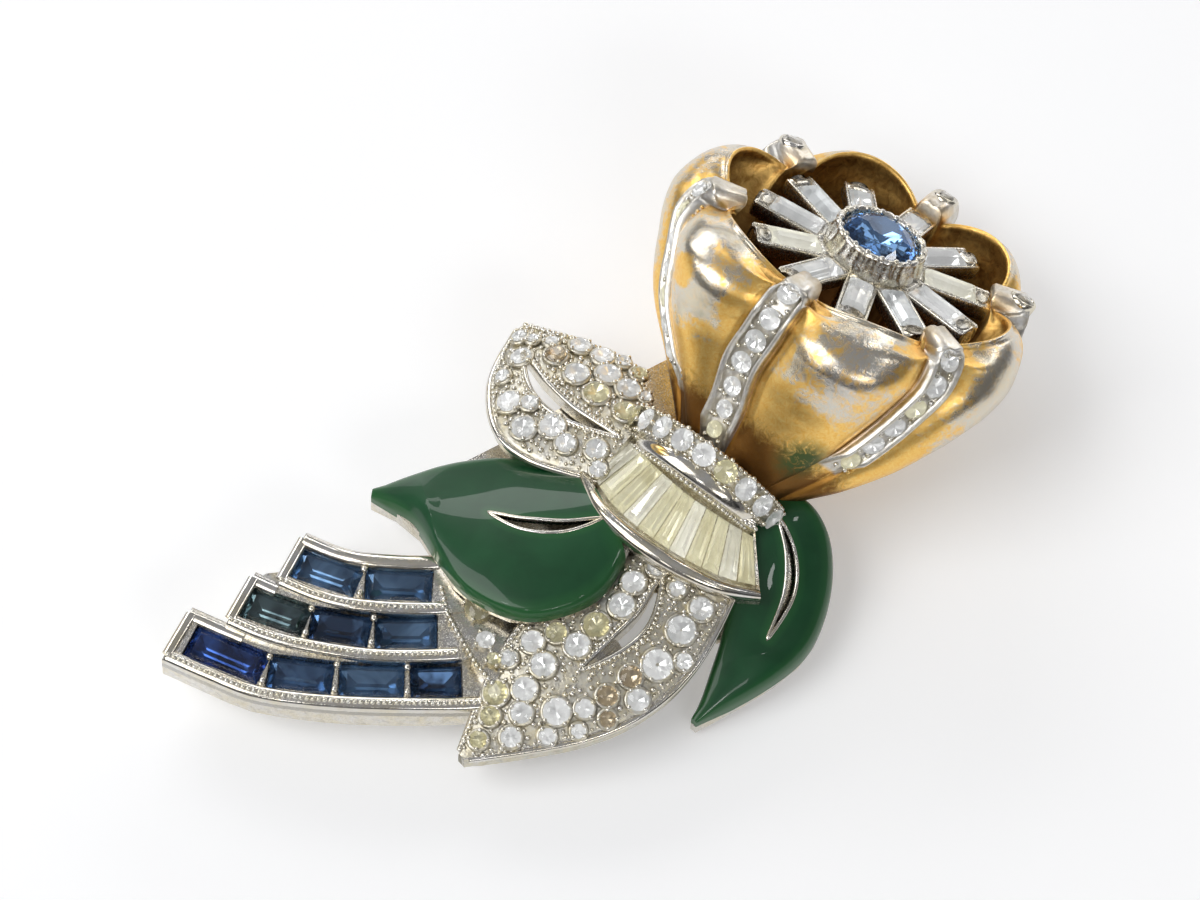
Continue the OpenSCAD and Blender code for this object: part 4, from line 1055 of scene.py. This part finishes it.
ts = np.linspace(0, 1, 70)
o_ = unit((along(FAN_OUT, ts) - along(FAN_IN, ts)) * np.array([1, 1, 0]))
f_ = 0.45 + 0.55 * np.sin(np.pi * ts)
rim = []
for i, t in enumerate(ts):
    c, o, f = along(FAN_OUT, t), o_[i], f_[i]
    an = np.radians(np.array([200, 180, 155, 130, 105, 80, 55, 30, 5, -20, -50, -80]))
    z = np.array([0, 0, 1.0])
    pr = [c + o * (0.16 + 0.56 * f * math.cos(x)) + z * (-0.34 * f + 0.52 * f * math.sin(x) - (0.0 if x > 0 else 0.3)) for x in an]
    rim.append(pr)
rims = Build()
rims.loft(rim)
rd = []
for i, t in enumerate(ts):
    c, o = along(FAN_IN, t), o_[i]
    an = np.radians(np.linspace(205, -25, 13))
    rd.append([c + o * 0.56 * math.cos(x) + np.array([0, 0, 1.0]) * (0.02 + 0.44 * math.sin(x)) for x in an])
rims.loft(rd)
rims.make("fan_rim", [SILVER_SOFT], None, "rhodium")
for s in (-0.47, 0.47):
    pth = np.array([along(FAN_IN, t) + o_[i] * s + [0, 0, 0.24] for i, t in enumerate(ts)])
    beads.beads(resample(pth, 0.33), 0.15)
pth = np.array([fan_p(t, 0.135, 0.0) for t in ts])
gold_spot = Build()
gp = []
for u in np.linspace(30, 8, 12):
    c = cup_p(0.0, u, 1.54, -0.20, NECK)
    gp.append(c + unit(cup_p(0.0, u, 2.0, -0.20, NECK) - c) * 0.22)
gp = np.array(gp)
gold_spot.tube(gp, np.array([.02, .12, .2, .25, .27, .28, .28, .26, .22, .17, .1, .02]), 10, False, 0, 0.75)
gold_spot.make("fan_ridge_gold", [GOLD_BEAD], None, "gilt")

# smooth crescent ridge along the collar's lower side, with a patch of gilding left on it
ru = np.linspace(44, -74, 60)
crescent, low_edge = [], []
for i, u in enumerate(ru):
    t = i / (len(ru) - 1)
    h0 = -0.28 + 0.34 * t
    c = cup_p(0.0, u, 1.54, h0, NECK)
    ax_ = unit(cup_p(0.12, u, 1.50, h0, NECK) - c)
    side_ = unit(cup_p(0.0, u - 1.5, 1.54, h0, NECK) - c)
    out_ = np.cross(ax_, side_)
    out_ = out_ if out_[2] > 0 else -out_
    hw = 0.10 + 0.54 * math.sin(math.pi * (0.04 + 0.92 * t)) ** 0.55
    an = np.radians(np.linspace(200, -20, 15))
    crescent.append([c + ax_ * hw * math.cos(x) + out_ * (0.02 + 0.36 * hw / 0.64 * math.sin(x)) for x in an])
    low_edge.append(c - ax_ * (hw + 0.10) + out_ * 0.05)
ridge = Build()
ridge.loft(crescent)
ridge.make("fan_ridge", [SILVER_SOFT], None, "rhodium")
beads.beads(resample(np.array(low_edge), 0.33), 0.15)
crescent = np.array(crescent)
# collar band with stones round the upper side of the neck
us = np.linspace(-128, 128, 120)
prof = [(0.12, 0.5, 0), (0.145, 1.3, 0), (0.155, 1.52, 0), (0.19, 1.62, 0), (0.26, 1.64, 0), (0.36, 1.58, 0),
        (0.44, 1.50, 0), (0.50, 1.40, 0), (0.525, 1.20, 0.05), (0.515, 0.6, 0.05)]
rows = [cup_p(w, us, o, h, NECK) for w, o, h in prof]
skins.grid(np.array(rows), mat=1)
for w, o in ((0.165, 1.60), (0.50, 1.42)):
    beads.beads(resample(cup_p(w, us, o, 0, NECK), 0.36), 0.17)
CW = 0.335
line = cup_p(CW, us, 1.6, 0, NECK)
s = np.concatenate([[0], np.cumsum(np.linalg.norm(np.diff(line, axis=0), axis=1))])
pos = 0.5
k = 0
while pos < s[-1] - 0.4:
    u = float(np.interp(pos, s, us))
    p = cup_p(CW, u, 1.62, 0, NECK)
    c0 = (cup_p(CW, 90, 0, 0, NECK) + cup_p(CW, -90, 0, 0, NECK)) / 2
    n = unit(unit(p - c0) + 0.15 * unit(cup_p(0.1, u, 1.6, 0, NECK) - p))
    round_gem(pave, p + n * 0.28, n, 0.70, k * 0.7, TINTS[0 if k % 5 else 1], 0.52, 0.36, 0.34)
    M = frame_of(n, 0)
    for j in range(4):
        b = j * math.pi / 2 + 0.8
        beads.beads(p + n * 0.22 + (math.cos(b) * M[0] + math.sin(b) * M[1]) * 0.76, 0.16)
    pos += 1.5
    k += 1


# ------------------------------------------------------------------ tail
def tail_pt(T, x, y, z=0.0):
    p, h = along(T, x), heading(T, x)
    left = np.stack([-h[..., 1], h[..., 0]], -1)
    q = p.copy()
    q[..., :2] += left * np.asarray(y, float)[..., None]
    q[..., 2] += z
    return q


tail = Build()
UP = np.array([0, 0, 1.0])
for T, a, b, tint in TAIL:
    pa, pb = along(T, a), along(T, b)
    dr = unit((pb - pa) * [1, 1, 0])
    n = np.cross(UP, dr)
    z = float(along(T, (a + b) / 2)[2]) - 0.36
    ln = np.linalg.norm((pb - pa)[:2])
    hw = TAIL_W / 2
    cut = 0.22
    def c(x, y):
        return np.array([*(pa[:2] + dr[:2] * x + n[:2] * y), z])
    quad = [c(0, -hw), c(ln, -hw), c(ln, hw), c(0, hw)]
    step_gem(tail, quad, UP, ((0.20, 0.20), (0.46, 0.46)), 0.15, ((0.30, 0.24),), 0.55, (tint * 2, tint * 2 + 1))
tail.make("tail_stones", [BLUE_TOP, BLUE_FOIL, DEEP_TOP, DEEP_FOIL, GREY_TOP, GREY_FOIL, ROYAL_TOP, ROYAL_FOIL],
          ["tail_stone_%02d" % k for k in range(1, 10)], "blue_stone")

walls = Build()
hw = TAIL_W / 2 + TAIL_WALL / 2


def wall(T, y, x0, x1, half, lift, drop=0.8, n=60):
    xs = np.linspace(x0, x1, n)
    an = np.radians(np.linspace(180, 0, 9))
    rows = []
    for x in xs:
        e = min(1.0, math.sqrt(max(0.0, 1 - (1 - min(1, (x - x0) / 0.012)) ** 2)) + 0.15)
        sec = [tail_pt(T, x, y - half, -drop)]
        sec += [tail_pt(T, x, y + half * math.cos(t), -0.10 + (lift + 0.10) * math.sin(t) * e) for t in an]
        sec += [tail_pt(T, x, y + half, -drop)]
        rows.append(sec)
    walls.loft(rows)


for T, last in ((ROW_SHORT, 0.80), (ROW_MID, 0.83), (ROW_LONG, 0.88)):
    wall(T, -hw, 0.0, last, 0.44, 0.16)
    pth = tail_pt(T, np.linspace(0.02, last - 0.01, 160), -hw - 0.06, 0.15)
    beads.beads(resample(pth, 0.34), 0.15)
wall(ROW_SHORT, hw, 0.0, 0.86, 0.50, 0.26)
wall(ROW_MID, hw, 0.0, 0.16, 0.44, 0.12)
wall(ROW_LONG, hw, 0.0, 0.20, 0.44, 0.12)
# free ends of the rows
for T in (ROW_SHORT, ROW_MID, ROW_LONG):
    ys = np.linspace(-hw, hw, 24)
    pth = np.array([tail_pt(T, 0.014, y, -0.02) for y in ys])
    walls.tube(pth, 0.36, 10, False, 0, 0.6)
# prongs between neighbouring stones
for (T, a, b, _), (T2, a2, b2, _) in zip(TAIL[:-1], TAIL[1:]):
    if T is T2:
        x = (b + a2) / 2
        for y in (-0.78, 0.78):
            walls.beads(tail_pt(T, x, y, 0.06), 0.24)
walls.make("tail_walls", [SILVER_SOFT], None, "rhodium")

# gusset between the tail and the lower leaf
GUSSET = [(-32.3, -7.6, 0.80, 1), (-33.0, -9.6, 0.55, 0), (-31.3, -6.2, 0.50, 0), (-33.2, -10.9, 0.42, 1),
          (-30.9, -8.2, 0.42, 0)]
for x, y, r, t in GUSSET:
    c = np.array([x, y, 4.98])
    round_gem(pave, c, UP, r, x, TINTS[t], 0.52, 0.36, 0.34)
    for j in range(4):
        b = j * math.pi / 2 + x
        beads.beads(c + np.array([math.cos(b) * (r + .05), math.sin(b) * (r + .05), 0.03]), 0.14)
pth = np.array([[-33.45, -5.4, 4.76], [-34.0, -7.0, 4.76], [-34.1, -8.4, 4.76], [-34.2, -10.6, 4.74], [-34.0, -12.1, 4.7]])
beads.beads(resample(pth, 0.36), 0.18)

skins.make("clip_skins", [SILVER_SOFT, SILVER_PAVE], None, "rhodium")
beads.make("milgrain", [SILVER_BEAD], None, "rhodium")
pave.make("paving_stones", [CLEAR_TOP, CLEAR_FOIL, YELLOW_TOP, YELLOW_FOIL, BROWN_TOP, BROWN_FOIL], None, "clear_stone")

# ------------------------------------------------------------------ nodes kept from the part
for name, mat in (("base_casting", SILVER), ("star_post", SILVER), ("clip_lever", SILVER_BACK), ("hinge_pin", SILVER_BACK)):
    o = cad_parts[name]
    o.data.materials.clear()
    o.data.materials.append(mat)
    if name == "clip_lever":
        m = o.modifiers.new("rounded_edges", "BEVEL")
        m.width = 0.00012
        m.segments = 2
        m.limit_method = "ANGLE"

# ------------------------------------------------------------------ stage, light, camera
fm = Mat("white_paper")
fm.set(Base_Color=(0.88, 0.88, 0.88), Roughness=0.85, Emission_Color=(1.0, 1.0, 1.0), Emission_Strength=0.26)
me = bpy.data.meshes.new("paper")
me.from_pydata([(-1.2, -1.2, -0.00005), (1.2, -1.2, -0.00005), (1.2, 1.2, -0.00005), (-1.2, 1.2, -0.00005)], [], [(0, 1, 2, 3)])
me.materials.append(fm.m)
paper = bpy.data.objects.new("paper", me)
bpy.context.scene.collection.objects.link(paper)

world = bpy.data.worlds.new("studio")
bpy.context.scene.world = world
world.use_nodes = True
nt = world.node_tree
nt.nodes.clear()
bg, wo = nt.nodes.new("ShaderNodeBackground"), nt.nodes.new("ShaderNodeOutputWorld")
tc, sep = nt.nodes.new("ShaderNodeTexCoord"), nt.nodes.new("ShaderNodeSeparateXYZ")
cr = nt.nodes.new("ShaderNodeValToRGB")
mp = nt.nodes.new("ShaderNodeMapRange")
nt.links.new(tc.outputs["Generated"], sep.inputs[0])
nt.links.new(sep.outputs["Z"], mp.inputs["Value"])
mp.inputs["From Min"].default_value, mp.inputs["From Max"].default_value = -0.1, 1.0
nt.links.new(mp.outputs[0], cr.inputs[0])
e = cr.color_ramp.elements
e[0].position, e[0].color = 0.0, (0.22, 0.22, 0.23, 1)
e[1].position, e[1].color = 1.0, (0.34, 0.345, 0.36, 1)
x = e.new(0.45)
x.color = (0.13, 0.13, 0.14, 1)
nt.links.new(cr.outputs[0], bg.inputs[0])
bg.inputs[1].default_value = 1.0
nt.links.new(bg.outputs[0], wo.inputs[0])
bpy.context.scene.view_settings.view_transform = "Standard"


def soft_box(name, at, look, size, power, color=(1, 1, 1)):
    l = bpy.data.lights.new(name, "AREA")
    l.shape, l.size, l.size_y, l.energy, l.color = "RECTANGLE", size[0], size[1], power, color
    o = bpy.data.objects.new(name, l)
    o.location = at
    o.rotation_mode = "QUATERNION"
    o.rotation_quaternion = (Vector(look) - Vector(at)).to_track_quat("-Z", "Y")
    bpy.context.scene.collection.objects.link(o)
    return o


def card(name, at, look, size, tone=0.01):
    """A dark card that only reflections see."""
    m = Mat("card_" + name)
    m.set(Base_Color=(tone, tone, tone), Roughness=1.0)
    me = bpy.data.meshes.new(name)
    a, b = size[0] / 2, size[1] / 2
    me.from_pydata([(-a, -b, 0), (a, -b, 0), (a, b, 0), (-a, b, 0)], [], [(0, 1, 2, 3)])
    me.materials.append(m.m)
    o = bpy.data.objects.new(name, me)
    o.location = at
    o.rotation_mode = "QUATERNION"
    o.rotation_quaternion = (Vector(look) - Vector(at)).to_track_quat("-Z", "Y")
    o.visible_camera = o.visible_diffuse = o.visible_shadow = False
    bpy.context.scene.collection.objects.link(o)
    return o


soft_box("key", (-0.42, 0.12, 0.50), (0, 0, 0), (0.46, 0.46), 2.3)
soft_box("back", (0.10, 0.58, 0.34), (0, 0, 0), (0.50, 0.18), 1.1)
soft_box("side", (0.52, 0.40, 0.14), (0, 0, 0), (0.50, 0.26), 1.2)
soft_box("front", (-0.10, -0.50, 0.34), (0, 0, 0), (0.30, 0.12), 0.5)
# small bright lamps that only reflections and stones see
for k in range(9):
    a = 2 * math.pi * k / 9 + 0.3
    z = (0.30, 0.55, 0.42)[k % 3]
    o = soft_box("spark_%d" % k, (0.45 * math.cos(a), 0.45 * math.sin(a), z), (0, 0, 0), (0.05, 0.05), 0.10)
    o.visible_diffuse = False
card("card_front", (-0.05, -0.45, 0.16), (0, 0, 0.01), (0.5, 0.22))
card("card_left", (-0.50, -0.05, 0.12), (0, 0, 0.01), (0.4, 0.16))
card("card_right", (0.36, 0.34, 0.10), (0, 0, 0.01), (0.3, 0.12))

cam = bpy.data.cameras.new("camera")
cam.lens = 157.5
cam.sensor_width = 36.0
cam.clip_start, cam.clip_end = 0.01, 20.0
co = bpy.data.objects.new("camera", cam)
bpy.context.scene.collection.objects.link(co)
bpy.context.scene.camera = co
back, right, up = Vector((-0.248, -0.434, 0.866)), Vector((0.868, -0.497, 0.0)), Vector((0.430, 0.752, 0.500))
aim = (-3500 * back + 153 * right - 87 * up).normalized()
z = -aim
x = (right - right.dot(aim) * aim).normalized()
y = z.cross(x)
co.matrix_world = Matrix.Translation((Vector((-105.3, -122.9, 274.2)) + Vector(ORIGIN)) / 1000) @ Matrix(
    (x, y, z)).transposed().to_4x4()
